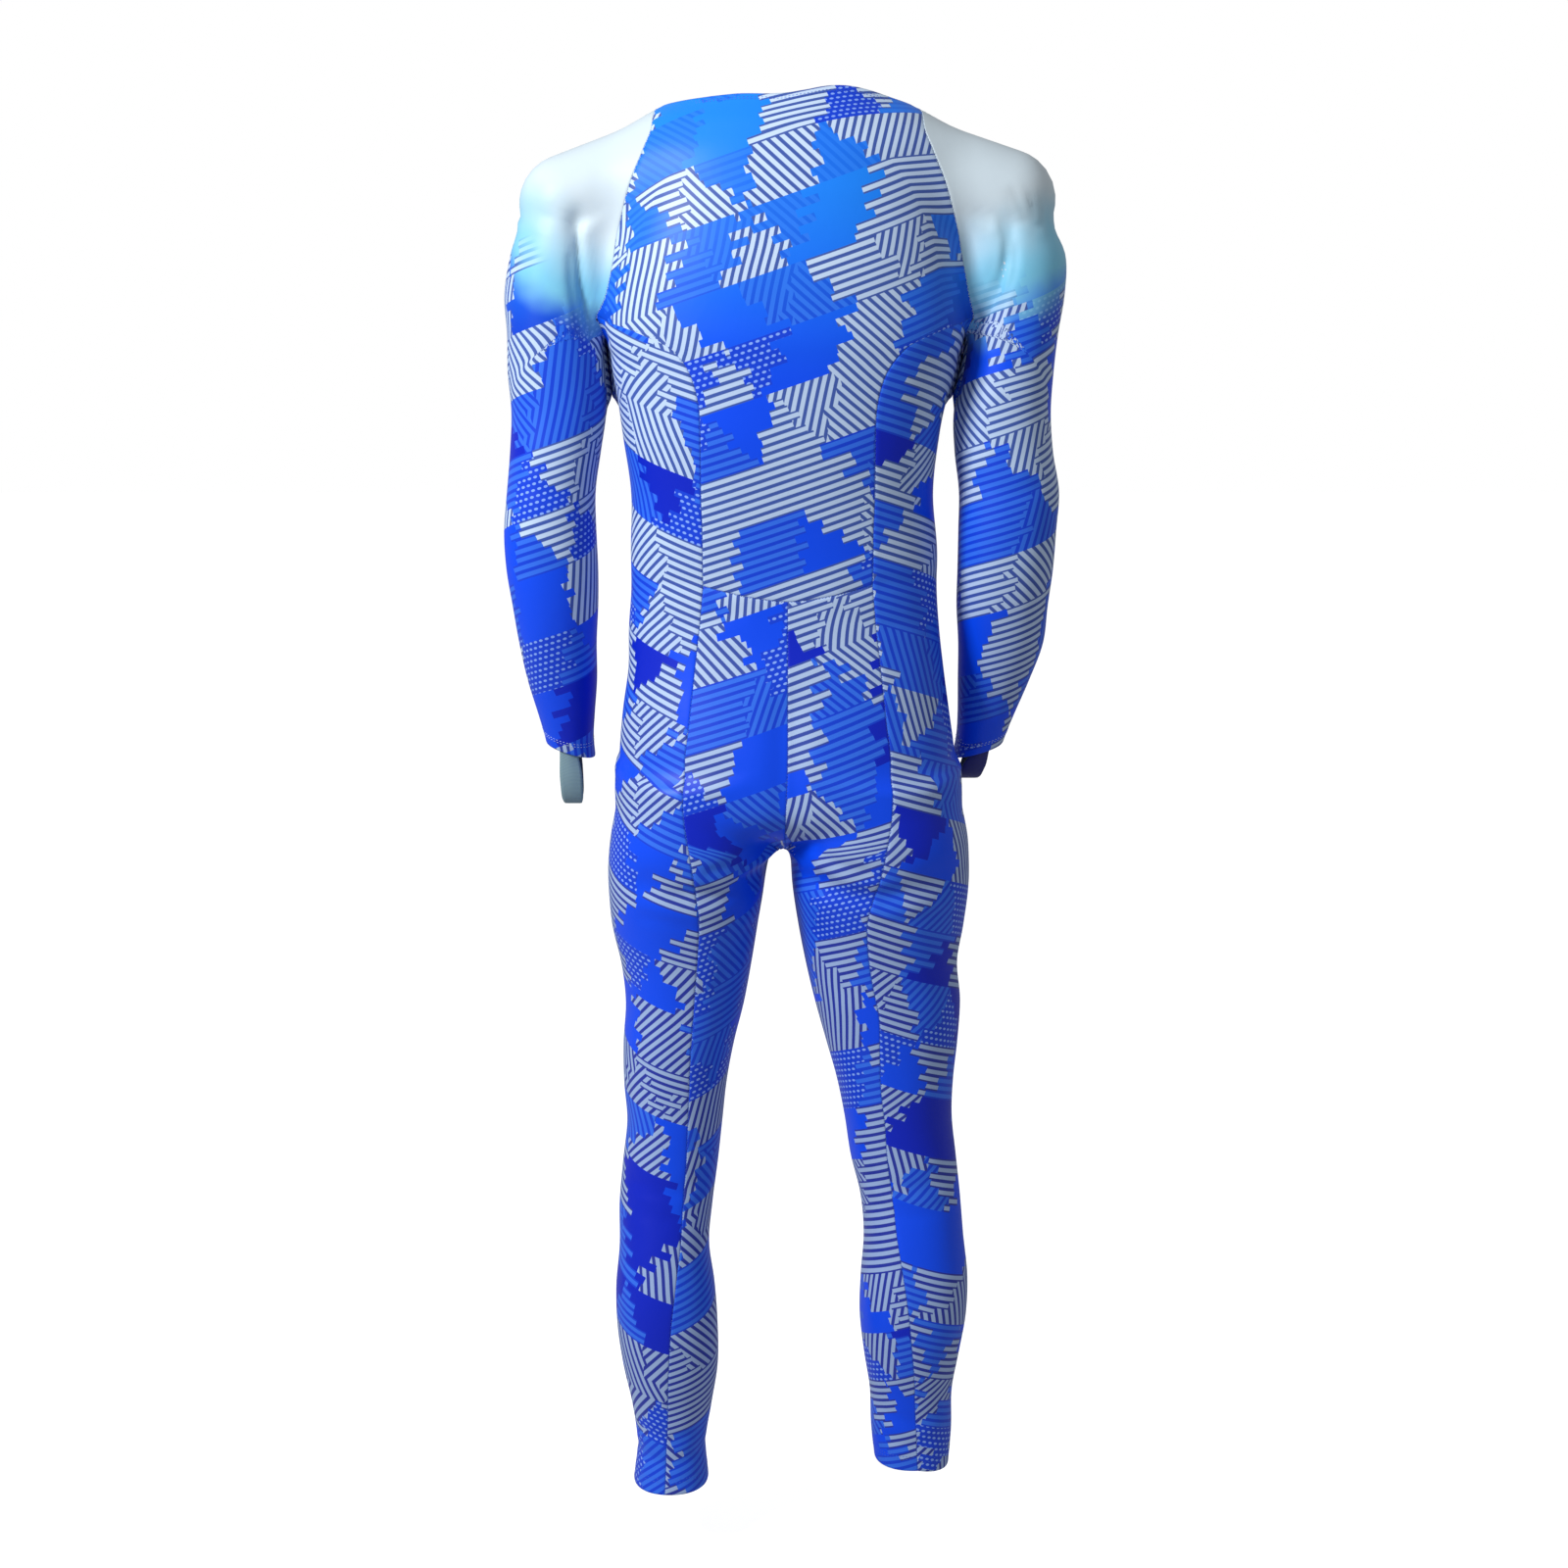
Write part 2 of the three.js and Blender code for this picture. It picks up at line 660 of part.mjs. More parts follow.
// A strap that hangs in a loop from inside the cuff, back to front.
function thumbLoop(name, side, backHalf, frontHalf) {
  const grid = [];
  const normals = [];
  const inside = (half, share) => {
    const last = half.length - 1;
    const row = [3, 4, 5].map((j) => half[last][j].clone().lerp(half[last - 1][j], share));
    const out = row.map((p) => outward(p));
    grid.push(row.map((p, k) => p.addScaledVector(out[k], -WALL - LAY - 0.1)));
    normals.push(out);
  };
  inside(backHalf, 0.42);
  inside(backHalf, 0.04);
  const start = grid[1];
  const foot = frontHalf[frontHalf.length - 1][4];
  const footIn = foot.clone().addScaledVector(outward(foot), -WALL - LAY - 0.1);
  const middlePoint = start[1].clone().add(footIn).multiplyScalar(0.5);
  const reach = start[1].clone().sub(footIn).multiplyScalar(0.5);
  const bend = 10;
  const [, fall, swing] = LOOPS.rows[side > 0 ? 0 : 1];
  for (let k = 1; k < bend; k += 1) {
    const angle = Math.PI * k / bend;
    const share = Math.sin(angle) ** 0.8;
    const centre = middlePoint.clone().addScaledVector(reach, Math.cos(angle) * 0.98);
    centre.z -= fall * share;
    centre.x -= side * swing * share;
    const half = LOOP_WIDE / 2 * (1 - 0.3 * Math.sin(angle) ** 10);
    const curl = Math.abs(Math.cos(angle)) ** 3 * 2.2;
    const facing = vec(0, Math.cos(angle) * 0.9, -Math.sin(angle)).normalize();
    grid.push([-1, 0, 1].map((w) => centre.clone()
      .add(vec(side * w * half, 0, 0)).addScaledVector(facing, -Math.abs(w) * curl)));
    normals.push([facing, facing, facing]);
  }
  inside(frontHalf, 0.04);
  inside(frontHalf, 0.42);
  return wall(name, grid, '#7f9aa4', { thick: LOOP_THICK, normals });
}

const suit = new THREE.Group();
suit.name = 'ski_race_suit';
const lastStation = PRINCESS.rows.length - 1;
const PRINT = '#2f62dc';
const PALE = '#dfe9f6';

const back = {};
const armholes = {};
for (const side of [1, -1]) {
  const pit = underarm(side);
  const topBack = neckPoint(side * 90);
  const topFront = neckPoint(side * 112);
  armholes[side] = {
    pit,
    raglanBack: raglan(side, 1, RAGLAN_BACK, topBack, pit[0]),
    raglanFront: raglan(side, -1, RAGLAN_FRONT, topFront, pit[pit.length - 1]),
    princessBack: princess(side, 1, pit[0]),
    princessFront: princess(side, -1, pit[pit.length - 1]),
    inseam: inseam(side),
  };
}

// Upper back: from the neck edge to the waist seam.
const upperLeft = [...armholes[1].raglanBack, ...armholes[1].princessBack.slice(1, WAIST_STATION + 1)];
const upperRight = [...armholes[-1].raglanBack, ...armholes[-1].princessBack.slice(1, WAIST_STATION + 1)];
const BACK_COLUMNS = 16;
const neckRow = [];
const waistRow = [];
for (let j = 0; j <= BACK_COLUMNS; j += 1) {
  const u = j / BACK_COLUMNS;
  neckRow.push(neckPoint(mix(90, -90, u)));
  const z = mix(-430, -445, 1 - Math.abs(2 * u - 1) ** 1.5);
  const x = mix(upperLeft.at(-1).x, upperRight.at(-1).x, u);
  waistRow.push(cast(vec(x, 0, z), vec(0, 1, 0)));
}
neckRow[0] = upperLeft[0];
neckRow[BACK_COLUMNS] = upperRight[0];
waistRow[0] = upperLeft.at(-1);
waistRow[BACK_COLUMNS] = upperRight.at(-1);
const upperSteps = upperLeft.length - 1;
suit.add(wall('back_upper', drape(upperLeft, upperRight, BACK_COLUMNS, 1, {
  top: neckRow,
  bottom: waistRow,
  rise: (i) => mix(60, -445, i / upperSteps),
  axis: trunkAxis,
}), PRINT));

// Middle of the seat, from the waist seam to the crotch.
const seatHeights = [];
for (let i = WAIST_STATION; i < CROTCH_STATION; i += 1) {
  seatHeights.push(i === WAIST_STATION ? -445 : mix(-445, crotch.z, (i - WAIST_STATION) / (CROTCH_STATION - WAIST_STATION)));
}
const seatMiddle = middle(1, seatHeights, (z) => 3 * ease(-600, -700, z));
seatMiddle[0] = waistRow[BACK_COLUMNS / 2];

// Front middle: the open neck, the zip, then a seam to the crotch.
const frontSteps = RAGLAN_STEPS + CROTCH_STATION;
const settle = RAGLAN_STEPS + 14;
const chest = RAGLAN_STEPS + 5;
const zipHeights = [];
for (let i = 0; i <= frontSteps; i += 1) {
  if (i <= chest) zipHeights.push(mix(-7, -200, i / chest));
  else if (i <= settle) zipHeights.push(mix(-200, PRINCESS.rows[14][1], (i - chest) / (settle - chest)));
  else zipHeights.push(i === frontSteps ? crotch.z : PRINCESS.rows[i - RAGLAN_STEPS][1]);
}

function openWidth(z) {
  return 0.15 + 44 * clamp((z - ZIP_STOP_Z) / (-7 - ZIP_STOP_Z), 0, 1) ** 1.35;
}

function tapeWidth(z) {
  return TAPE_WIDE * ease(-600, -560, z);
}

// The side and front panels are each parted in two, level with the crotch.
for (const side of [1, -1]) {
  const name = side > 0 ? 'left' : 'right';
  const hole = armholes[side];
  const half = side > 0 ? waistRow.slice(0, BACK_COLUMNS / 2 + 1)
    : waistRow.slice(BACK_COLUMNS / 2).reverse();
  const seatInner = [...seatMiddle, ...hole.inseam];
  const seatOuter = hole.princessBack.slice(WAIST_STATION);
  suit.add(wall(`seat_leg_${name}`, drape(seatOuter, seatInner, BACK_COLUMNS / 2, 1, {
    top: half,
    axis: (z) => legAxis(side, z),
    round: -side,
  }), PRINT));

  const sidePanel = drape(hole.princessBack, hole.princessFront, 2 * UNDERARM_STEPS, 1, {
    first: hole.pit,
    rise: (i) => PRINCESS.rows[i][2],
    axis: (z) => legAxis(side, z),
    round: side,
  });
  suit.add(wall(`side_body_${name}`, sidePanel.slice(0, CROTCH_STATION + 1), PRINT));
  suit.add(wall(`side_leg_${name}`, sidePanel.slice(CROTCH_STATION), PRINT));

  const frontOuter = [...hole.raglanFront, ...hole.princessFront.slice(1)];
  const frontEdge = zipHeights.map((z, i) => {
    if (i === frontSteps) return crotch;
    const x = side * (openWidth(z) - 0.15 + tapeWidth(z));
    return cast(vec(x, -10, z), vec(0, -1, 0));
  });
  const frontInner = [...frontEdge, ...hole.inseam.slice(1)];
  const frontTop = [];
  const columns = 8;
  const startBearing = 112;
  const endBearing = Math.atan2(Math.abs(frontEdge[0].x), frontEdge[0].y + 8) * 180 / Math.PI;
  for (let j = 0; j <= columns; j += 1) {
    frontTop.push(neckPoint(side * mix(startBearing, endBearing, j / columns)));
  }
  frontTop[0] = frontOuter[0];
  frontTop[columns] = frontEdge[0];
  const frontPanel = drape(frontOuter, frontInner, columns, -1, {
    top: frontTop,
    axis: (z) => legAxis(side, z),
    round: -side,
  });
  suit.add(wall(`front_body_${name}`, frontPanel.slice(0, frontSteps + 1), PRINT));
  suit.add(wall(`front_leg_${name}`, frontPanel.slice(frontSteps), PRINT));

  const pitMiddle = hole.pit[UNDERARM_STEPS];
  const innerArm = [];
  const armTable = side > 0 ? ARM_LEFT : ARM_RIGHT;
  for (let i = 1; i <= ARM_STEPS; i += 1) {
    const z = mix(pitMiddle.z, CUFF_IN_Z, i / ARM_STEPS);
    innerArm.push(cast(vec(read(armTable, 'x', z), read(armTable, 'y', z), z), vec(-side, 0, 0)));
  }
  const seamBack = [...hole.raglanBack, ...hole.pit.slice(1, UNDERARM_STEPS + 1), ...innerArm];
  const seamFront = [...hole.raglanFront, ...hole.pit.slice(UNDERARM_STEPS, -1).reverse(), ...innerArm];
  const backHalf = sleeveHalf(side, 1, seamBack, CUFF_OUT_Z);
  const frontHalf = sleeveHalf(side, -1, seamFront, CUFF_OUT_Z);
  suit.add(wall(`sleeve_back_${name}`, backHalf, PALE));
  suit.add(wall(`sleeve_front_${name}`, frontHalf, PALE));
  suit.add(thumbLoop(`thumb_loop_${name}`, side, backHalf, frontHalf));

  // The zip tape lies between the front edges.
  const tapeGrid = [];
  for (let i = 0; i < zipHeights.length; i += 1) {
    const z = zipHeights[i];
    if (tapeWidth(z) < 2) break;
    const near = side * (openWidth(z) - 0.15);
    const far = frontEdge[i];
    tapeGrid.push([far, cast(vec((near + far.x) / 2, -10, z), vec(0, -1, 0)),
      cast(vec(near, -10, z), vec(0, -1, 0))]);
  }
  suit.add(wall(`zip_tape_${name}`, tapeGrid, '#20242c', { thick: 1.4 }));
}

// The slider rests on the tapes; its pull turns on a bar between two ears.
const wasm = await Module();
wasm.setup();
const { Manifold } = wasm;
const seat = cast(vec(0, -10, SLIDER_Z), vec(0, -1, 0));
const lean = outward(vec(0, seat.y, seat.z));
const tilt = Math.atan2(lean.z, -lean.y) * 180 / Math.PI;

function block(wide, deep, high, x, y, z) {
  return Manifold.cube([wide, deep, high], true).translate([x, y, z]);
}

function place(name, solid, colour, look) {
  const mesh = solid.rotate([-tilt, 0, 0]).translate([0, seat.y, seat.z]).getMesh();
  const geometry = new THREE.BufferGeometry();
  geometry.setAttribute('position', new THREE.Float32BufferAttribute(mesh.vertProperties, 3));
  geometry.setIndex(Array.from(mesh.triVerts));
  geometry.computeVertexNormals();
  const piece = new THREE.Mesh(geometry, new THREE.MeshStandardMaterial({ color: colour, ...look }));
  piece.name = name;
  suit.add(piece);
}

const faceY = -LAY - SLIDER_DEEP;
const barY = faceY - BAR_OUT;
const earX = PULL_WIDE / 2 + 0.5 + EAR_THICK / 2;
const earDeep = BAR_OUT + BAR_ROUND + 0.9;
const bar = Manifold.cylinder(2 * earX, BAR_ROUND, BAR_ROUND, 20, true)
  .rotate([0, 90, 0]).translate([0, barY, 2]);
const slider = block(SLIDER_WIDE, SLIDER_DEEP, SLIDER_HIGH, 0, -LAY - SLIDER_DEEP / 2, 0)
  .add(block(EAR_THICK, earDeep, 5, earX, faceY - earDeep / 2 + 0.2, 2))
  .add(block(EAR_THICK, earDeep, 5, -earX, faceY - earDeep / 2 + 0.2, 2))
  .add(bar);
const eye = Manifold.cylinder(PULL_WIDE, EYE_ROUND, EYE_ROUND, 28, true)
  .rotate([0, 90, 0]).translate([0, barY, 2]);
const hole = Manifold.cylinder(PULL_WIDE + 2, BAR_ROUND + 0.35, BAR_ROUND + 0.35, 28, true)
  .rotate([0, 90, 0]).translate([0, barY, 2]);
const tab = block(PULL_WIDE, PULL_THICK, PULL_LONG, 0, barY - 0.4, 2 - EYE_ROUND + 1 - PULL_LONG / 2);
place('zip_slider', slider, '#8a8f96', { metalness: 0.9, roughness: 0.35 });
place('zip_pull', eye.add(tab).subtract(hole), '#8a8f96', { metalness: 0.9, roughness: 0.35 });

export default suit;
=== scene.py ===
import math
import bpy
import numpy as np
from mathutils import Matrix, Vector


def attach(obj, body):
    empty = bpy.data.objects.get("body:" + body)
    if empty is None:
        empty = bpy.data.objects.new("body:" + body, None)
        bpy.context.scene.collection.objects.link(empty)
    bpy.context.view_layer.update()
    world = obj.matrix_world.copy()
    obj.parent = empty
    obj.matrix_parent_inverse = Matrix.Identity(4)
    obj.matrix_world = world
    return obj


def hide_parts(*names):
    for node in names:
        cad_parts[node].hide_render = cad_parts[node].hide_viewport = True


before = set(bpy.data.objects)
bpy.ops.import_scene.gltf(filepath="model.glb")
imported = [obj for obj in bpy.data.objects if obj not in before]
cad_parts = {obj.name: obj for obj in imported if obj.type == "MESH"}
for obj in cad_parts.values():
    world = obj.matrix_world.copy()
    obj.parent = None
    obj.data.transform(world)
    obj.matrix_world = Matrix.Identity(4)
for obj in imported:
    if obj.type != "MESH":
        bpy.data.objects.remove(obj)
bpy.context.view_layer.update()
print("stage: frame loaded", flush=True)

mm = 0.001  # the tables are in millimetres, Blender in metres

# Body sections from the top down: z, x, half width, back, front, squareness
trunkRows = np.array([
    [70, 0, 95, 40, 70, 2.1], [52, 0, 112, 54, 80, 2.1], [40, 0, 128, 64, 86, 2.2],
    [26, 0, 140, 72, 91, 2.3], [10, 0, 150, 80, 95, 2.4], [-10, 1, 156, 88, 100, 2.4],
    [-40, 2, 163, 98, 108, 2.5], [-100, 3, 178, 111, 120, 2.5], [-160, 3, 186, 116, 127, 2.5],
    [-180, 3, 184, 117, 128, 2.5], [-200, 3, 180, 116, 128, 2.5], [-220, 4, 176, 115, 127, 2.5],
    [-250, 6, 169, 113, 125, 2.5], [-281, 7, 164, 110, 122, 2.5], [-342, 6, 157, 100, 114, 2.4],
    [-403, 4, 160, 91, 107, 2.4], [-445, 4, 160, 88, 105, 2.4], [-486, 4, 163, 90, 105, 2.4],
    [-528, 2, 166, 98, 107, 2.4], [-571, 2, 172, 108, 108, 2.4], [-613, 1, 177, 117, 106, 2.4],
    [-645, 0, 178, 120, 101, 2.4], [-672, 0, 166, 114, 92, 2.3], [-692, 0, 132, 92, 74, 2.2],
    [-708, 0, 80, 56, 46, 2.1]], float)
# Leg and arm sections: z, x, y, half width, half depth
leftLegRows = np.array([
    [-640, 90, 14, 84, 100], [-700, 99, 16, 88, 102], [-735, 105, 15, 86, 99],
    [-764, 108, 14, 83, 96], [-807, 110, 6, 78, 90], [-851, 109, 2, 70, 85],
    [-895, 111, 1, 64, 80], [-940, 118, 1, 60, 75], [-984, 122, 1, 56, 70],
    [-1029, 123, 2, 52, 66], [-1075, 128, 5, 52, 62], [-1120, 133, 12, 51, 60],
    [-1166, 135, 22, 49, 60], [-1212, 134, 28, 54, 63], [-1258, 132, 29, 55, 63],
    [-1305, 129, 27, 52, 59], [-1352, 128, 24, 44, 51], [-1399, 129, 24, 38, 46],
    [-1447, 130, 25, 42, 51], [-1480, 133, 25, 43, 52]], float)
rightLegRows = np.array([
    [-640, -90, 14, 86, 100], [-700, -96, 16, 94, 102], [-735, -98, 13, 95, 98],
    [-764, -99, 10, 94, 95], [-807, -100, 0, 89, 88], [-851, -101, -6, 82, 83],
    [-895, -108, -9, 79, 79], [-940, -113, -11, 72, 74], [-984, -117, -13, 64, 70],
    [-1029, -121, -15, 59, 66], [-1075, -127, -15, 58, 63], [-1120, -135, -11, 55, 59],
    [-1166, -139, -5, 55, 59], [-1212, -140, -3, 59, 62], [-1258, -139, -5, 59, 62],
    [-1305, -138, -9, 53, 57], [-1352, -138, -14, 46, 50], [-1399, -139, -16, 45, 48],
    [-1447, -140, -16, 41, 46], [-1480, -140, -16, 41, 46]], float)
leftArmRows = np.array([
    [-70, 224, -6, 50, 52], [-100, 231, -5, 53, 55], [-140, 239, -4, 52, 56],
    [-180, 240, -3, 49, 56], [-220, 239, -2, 50, 55], [-260, 237, -1, 49, 54],
    [-301, 241, 1, 47, 53], [-342, 246, 2, 46, 52], [-382, 248, 1, 48, 51],
    [-424, 247, -5, 48, 50], [-465, 245, -14, 45, 48], [-507, 244, -27, 41, 45],
    [-550, 241, -41, 37, 40], [-592, 238, -55, 30, 35], [-620, 236, -65, 26, 33],
    [-660, 232, -77, 25, 31]], float)
rightArmRows = np.array([
    [-70, -222, -6, 48, 52], [-100, -231, -5, 53, 55], [-140, -233, -4, 51, 56],
    [-180, -232, -3, 46, 56], [-220, -228, -2, 46, 55], [-260, -222, -1, 50, 54],
    [-301, -224, 1, 51, 53], [-342, -230, 2, 52, 52], [-382, -229, 1, 51, 51],
    [-424, -228, -5, 50, 50], [-465, -226, -14, 48, 48], [-507, -226, -27, 45, 45],
    [-550, -220, -41, 38, 40], [-592, -213, -55, 30, 35], [-620, -208, -65, 26, 33],
    [-660, -199, -77, 25, 31]], float)
# Shoulder rods: x, y, z and radius at the neck, then at the arm
shoulderRods = {1: (112, -8, -8, 51, 224, -6, -49, 50), -1: (-112, -8, -8, 51, -222, -6, -45, 51)}
# Large folds: three places in back view, depth, width, face (1 back, -1 front)
foldRows = np.array([
    [214, -62, 211, -122, 204, -176, 5, 10, 1], [-222, -76, -220, -103, -198, -160, 5, 10, 1],
    [-226, -44, -240, -47, -256, -50, 2, 8, 1], [38, -742, 92, -756, 146, -742, 4.5, 17, 1],
    [-38, -742, -92, -756, -146, -742, 4.5, 17, 1], [0, -560, 0, -630, 0, -690, 7, 20, 1],
    [222, -372, 244, -380, 266, -372, 3, 11, -1], [-206, -372, -228, -380, -250, -372, 3, 11, -1],
    [206, -64, 204, -120, 200, -170, 4, 10, -1], [-206, -64, -204, -120, -196, -165, 4, 10, -1],
    [50, -690, 76, -716, 100, -760, 4, 14, -1], [-50, -690, -76, -716, -100, -760, 4, 14, -1]],
    float)
# Small creases of the stretched cloth, in the same columns; a minus depth is a ridge
creaseRows = np.array([
    [212, -78, 210, -124, 203, -174, 2.8, 2.8, 1], [-221, -98, -213, -134, -198, -164, 2.6, 2.8, 1],
    [24, -738, 62, -752, 112, -748, 3.4, 11, 1], [-22, -742, -60, -756, -112, -752, 3.4, 11, 1],
    [-228, -42, -240, -46, -257, -53, 1.8, 2.6, 1], [196, -150, 192, -172, 184, -186, 1.8, 3, 1],
    [205, -70, 201, -112, 197, -150, -1.6, 4, 1], [220, -100, 219, -128, 213, -166, 1.5, 4, 1],
    [-214, -84, -212, -112, -193, -150, -1.6, 4, 1], [-230, -92, -228, -118, -208, -166, 1.5, 4, 1],
    [-232, -52, -246, -56, -262, -60, -1.2, 4, 1], [-236, -62, -250, -68, -266, -70, 1.2, 4, 1],
    [190, -196, 170, -204, 148, -210, 1.5, 6, 1], [-186, -196, -168, -206, -146, -212, 1.5, 6, 1],
    [60, -436, 100, -428, 146, -432, 1.0, 7, 1], [-62, -436, -104, -427, -150, -430, 1.0, 7, 1],
    [48, -458, 96, -470, 140, -468, 0.9, 6, 1], [-50, -460, -98, -472, -142, -470, 0.9, 6, 1],
    [22, -700, 48, -716, 80, -724, 2.2, 7, 1], [-22, -700, -48, -716, -80, -724, 2.2, 7, 1],
    [34, -724, 70, -738, 112, -736, -1.4, 6, 1], [-34, -724, -70, -738, -112, -736, -1.4, 6, 1],
    [52, -772, 96, -786, 150, -776, 1.8, 8, 1], [-52, -772, -96, -786, -156, -776, 1.8, 8, 1],
    [40, -800, 60, -830, 74, -868, 1.2, 8, 1], [-34, -800, -50, -836, -58, -872, 1.2, 8, 1],
    [92, -1082, 126, -1094, 164, -1086, 2.0, 8, 1], [100, -1112, 134, -1120, 168, -1110, 1.4, 6, 1],
    [-88, -1088, -126, -1098, -168, -1090, 2.0, 8, 1], [-96, -1118, -136, -1126, -176, -1116, 1.4, 6, 1],
    [98, -1370, 128, -1378, 156, -1370, 1.6, 6, 1], [96, -1398, 130, -1408, 164, -1400, 1.6, 6, 1],
    [-104, -1366, -138, -1374, -172, -1366, 1.5, 6, 1], [-104, -1394, -140, -1404, -176, -1394, 1.5, 6, 1],
    [216, -330, 244, -338, 272, -332, 1.0, 6, 1], [-202, -330, -230, -340, -256, -332, 1.0, 6, 1],
    [224, -392, 246, -398, 268, -392, 1.6, 6, -1], [226, -350, 246, -356, 264, -350, 1.4, 6, -1],
    [-208, -394, -230, -400, -250, -394, 1.6, 6, -1], [-208, -350, -228, -356, -246, -350, 1.4, 6, -1],
    [218, -560, 242, -566, 264, -560, 1.2, 5, 1], [-196, -560, -216, -568, -238, -560, 1.2, 5, 1],
    [222, -590, 240, -595, 258, -590, 1.2, 5, 1], [-190, -590, -210, -597, -230, -590, 1.2, 5, 1],
    [30, -668, 60, -690, 108, -702, 1.6, 8, -1], [-30, -668, -60, -690, -108, -702, 1.6, 8, -1],
    [14, -640, 30, -666, 52, -700, 1.4, 7, -1], [-14, -640, -30, -666, -52, -700, 1.4, 7, -1],
    [96, -1060, 128, -1068, 160, -1060, 1.2, 9, -1], [-92, -1062, -128, -1070, -164, -1062, 1.2, 9, -1],
    [176, -196, 150, -206, 122, -206, 1.6, 7, -1], [-176, -196, -150, -206, -122, -206, 1.6, 7, -1],
    [60, -420, 100, -430, 140, -424, 1.0, 8, -1], [-60, -420, -100, -430, -140, -424, 1.0, 8, -1]],
    float)
# Neck edge: bearing from the middle of the back, height left, height right
neckRows = np.array([
    [0, 62, 62], [20, 61, 65], [45, 61, 69], [62, 58, 67], [78, 53, 56], [90, 46, 46],
    [104, 36, 36], [122, 20, 20], [142, 5, 5], [155, -4, -4], [180, -12, -12]], float)
neckSeams = (90, 112)  # bearings of the back and front raglan seams at the neck
backRaglan = [(141, 36, 17), (158, 60, -25), (173, 74, -80), (182, 56, -130)]
frontRaglan = [(132, -68, 2), (149, -88, -40), (165, -94, -85), (178, -66, -132)]
# Side seams, station by station: x, z, height of the side panel's middle
seamRows = np.array([
    [187, -165, -190], [186, -164, -196], [176, -166, -204], [162, -168, -214],
    [140, -172, -233], [117, -187, -254], [99, -210, -275], [90, -240, -296],
    [88, -272, -317], [88, -306, -338], [88, -340, -360], [87, -374, -384],
    [87, -404, -408], [87, -430, -432], [90, -466, -466], [94, -502, -502],
    [98, -538, -538], [102, -574, -574], [106, -608, -608], [108, -640, -640],
    [107, -666, -666], [104, -688, -688], [101, -707, -707], [98, -728, -728],
    [95, -752, -752], [92, -782, -782], [94, -818, -818], [97, -856, -856],
    [100, -896, -896], [103, -938, -938], [105, -980, -980], [107, -1022, -1022],
    [109, -1064, -1064], [112, -1106, -1106], [115, -1148, -1148], [120, -1190, -1190],
    [125, -1232, -1232], [128, -1274, -1274], [130, -1316, -1316], [131, -1356, -1356],
    [133, -1390, -1390], [134, -1420, -1420], [135, -1441, -1441]], float)

# How the form's parts run together: softness in mm, and how square the limbs' sections are
joins = {"legs": 16, "hips": 26, "shoulder": 14, "armpit": 3, "armpitSofter": 30,
         "armpitSpan": (-215, -110), "legSquare": 2.2, "armSquare": 2.15, "seatFloor": -712,
         "limbPast": 20, "foldFace": (-4, 26)}
# How places on the form are found: along a ray, then by halving, or by steps down the slope
search = {"farthest": 400, "stride": 0.5, "leastStride": 1, "halvings": 18,
          "probe": 0.6, "steps": 3, "flattest": 0.2}
# Heights and counts of the cut; 1 is the left side, -1 the right
suitCut = {"hem": {1: -1441.0, -1: -1434.0}, "cuffOuter": -622.0, "cuffInner": -640.0,
           "waistMiddle": -445, "waistSides": -430, "waistBend": 1.5, "neckMiddle": 60,
           "crotchFrom": (3.0, 6.0, -660.0), "waistStation": 13, "crotchStation": 22,
           "chestStation": 5, "settleStation": 14, "chest": -200, "raglanSteps": 8,
           "underarmSteps": 4, "armSteps": 14, "backColumns": 16, "halfColumns": 8,
           "topRows": 3, "topBend": 1.5}
# Places inside the form that the seams are cast from
innerPlaces = {"neck": -8, "raglan": -6, "trunk": -4, "front": -10, "legAxis": (-440, -640),
               "pit": (-2, -150), "pitAcross": (174, 198), "pitEvery": 0.5, "pitSwing": 66}
sideCut = {"pitX": 194, "pitStations": 5, "lean": (-700, -800), "leg": (-600, -700)}
sleeveCut = {"neckEnd": (2, -9, 6), "middle": (-8, -18), "armDrop": 8, "cuffLean": 28, "ahead": 0.004}
frontZip = {"top": -7, "stop": -175.0, "openHalf": 44, "openBend": 1.35, "gap": 0.15,
            "tapeWidth": 11.0, "tapeFoot": (-600, -560), "tapeLeast": 2}


def ease(low, high, v):
    t = np.clip((np.asarray(v, float) - low) / (high - low), 0, 1)
    return t * t * (3 - 2 * t)


def mix(a, b, t):
    return a + (b - a) * t


def unit(v):
    return v / np.linalg.norm(v, axis=-1, keepdims=True)


def read(table, column, at):  # smooth value of one column along the table's first
    keys = table[:, 0]
    values = table[:, column]
    if keys[1] < keys[0]:
        keys = keys[::-1]
        values = values[::-1]
    slopes = np.empty(len(keys))
    slopes[1:-1] = (values[2:] - values[:-2]) / (keys[2:] - keys[:-2])
    slopes[0] = (values[1] - values[0]) / (keys[1] - keys[0])
    slopes[-1] = (values[-1] - values[-2]) / (keys[-1] - keys[-2])
    at = np.clip(at, keys[0], keys[-1])
    i = np.clip(np.searchsorted(keys, at, side="right") - 1, 0, len(keys) - 2)
    span = keys[i + 1] - keys[i]
    t = (at - keys[i]) / span
    t2 = t * t
    t3 = t2 * t
    return ((2 * t3 - 3 * t2 + 1) * values[i] + (t3 - 2 * t2 + t) * span * slopes[i]
            + (3 * t2 - 2 * t3) * values[i + 1] + (t3 - t2) * span * slopes[i + 1])


def section(dx, dy, wide, deep, square):
    reach = (np.abs(dx / wide) ** square + np.abs(dy / deep) ** square) ** (1 / square)
    return (reach - 1) * 0.5 * (wide + deep)


def join(a, b, soft):
    h = np.maximum(soft - np.abs(a - b), 0) / soft
    return np.minimum(a, b) - h * h * soft * 0.25


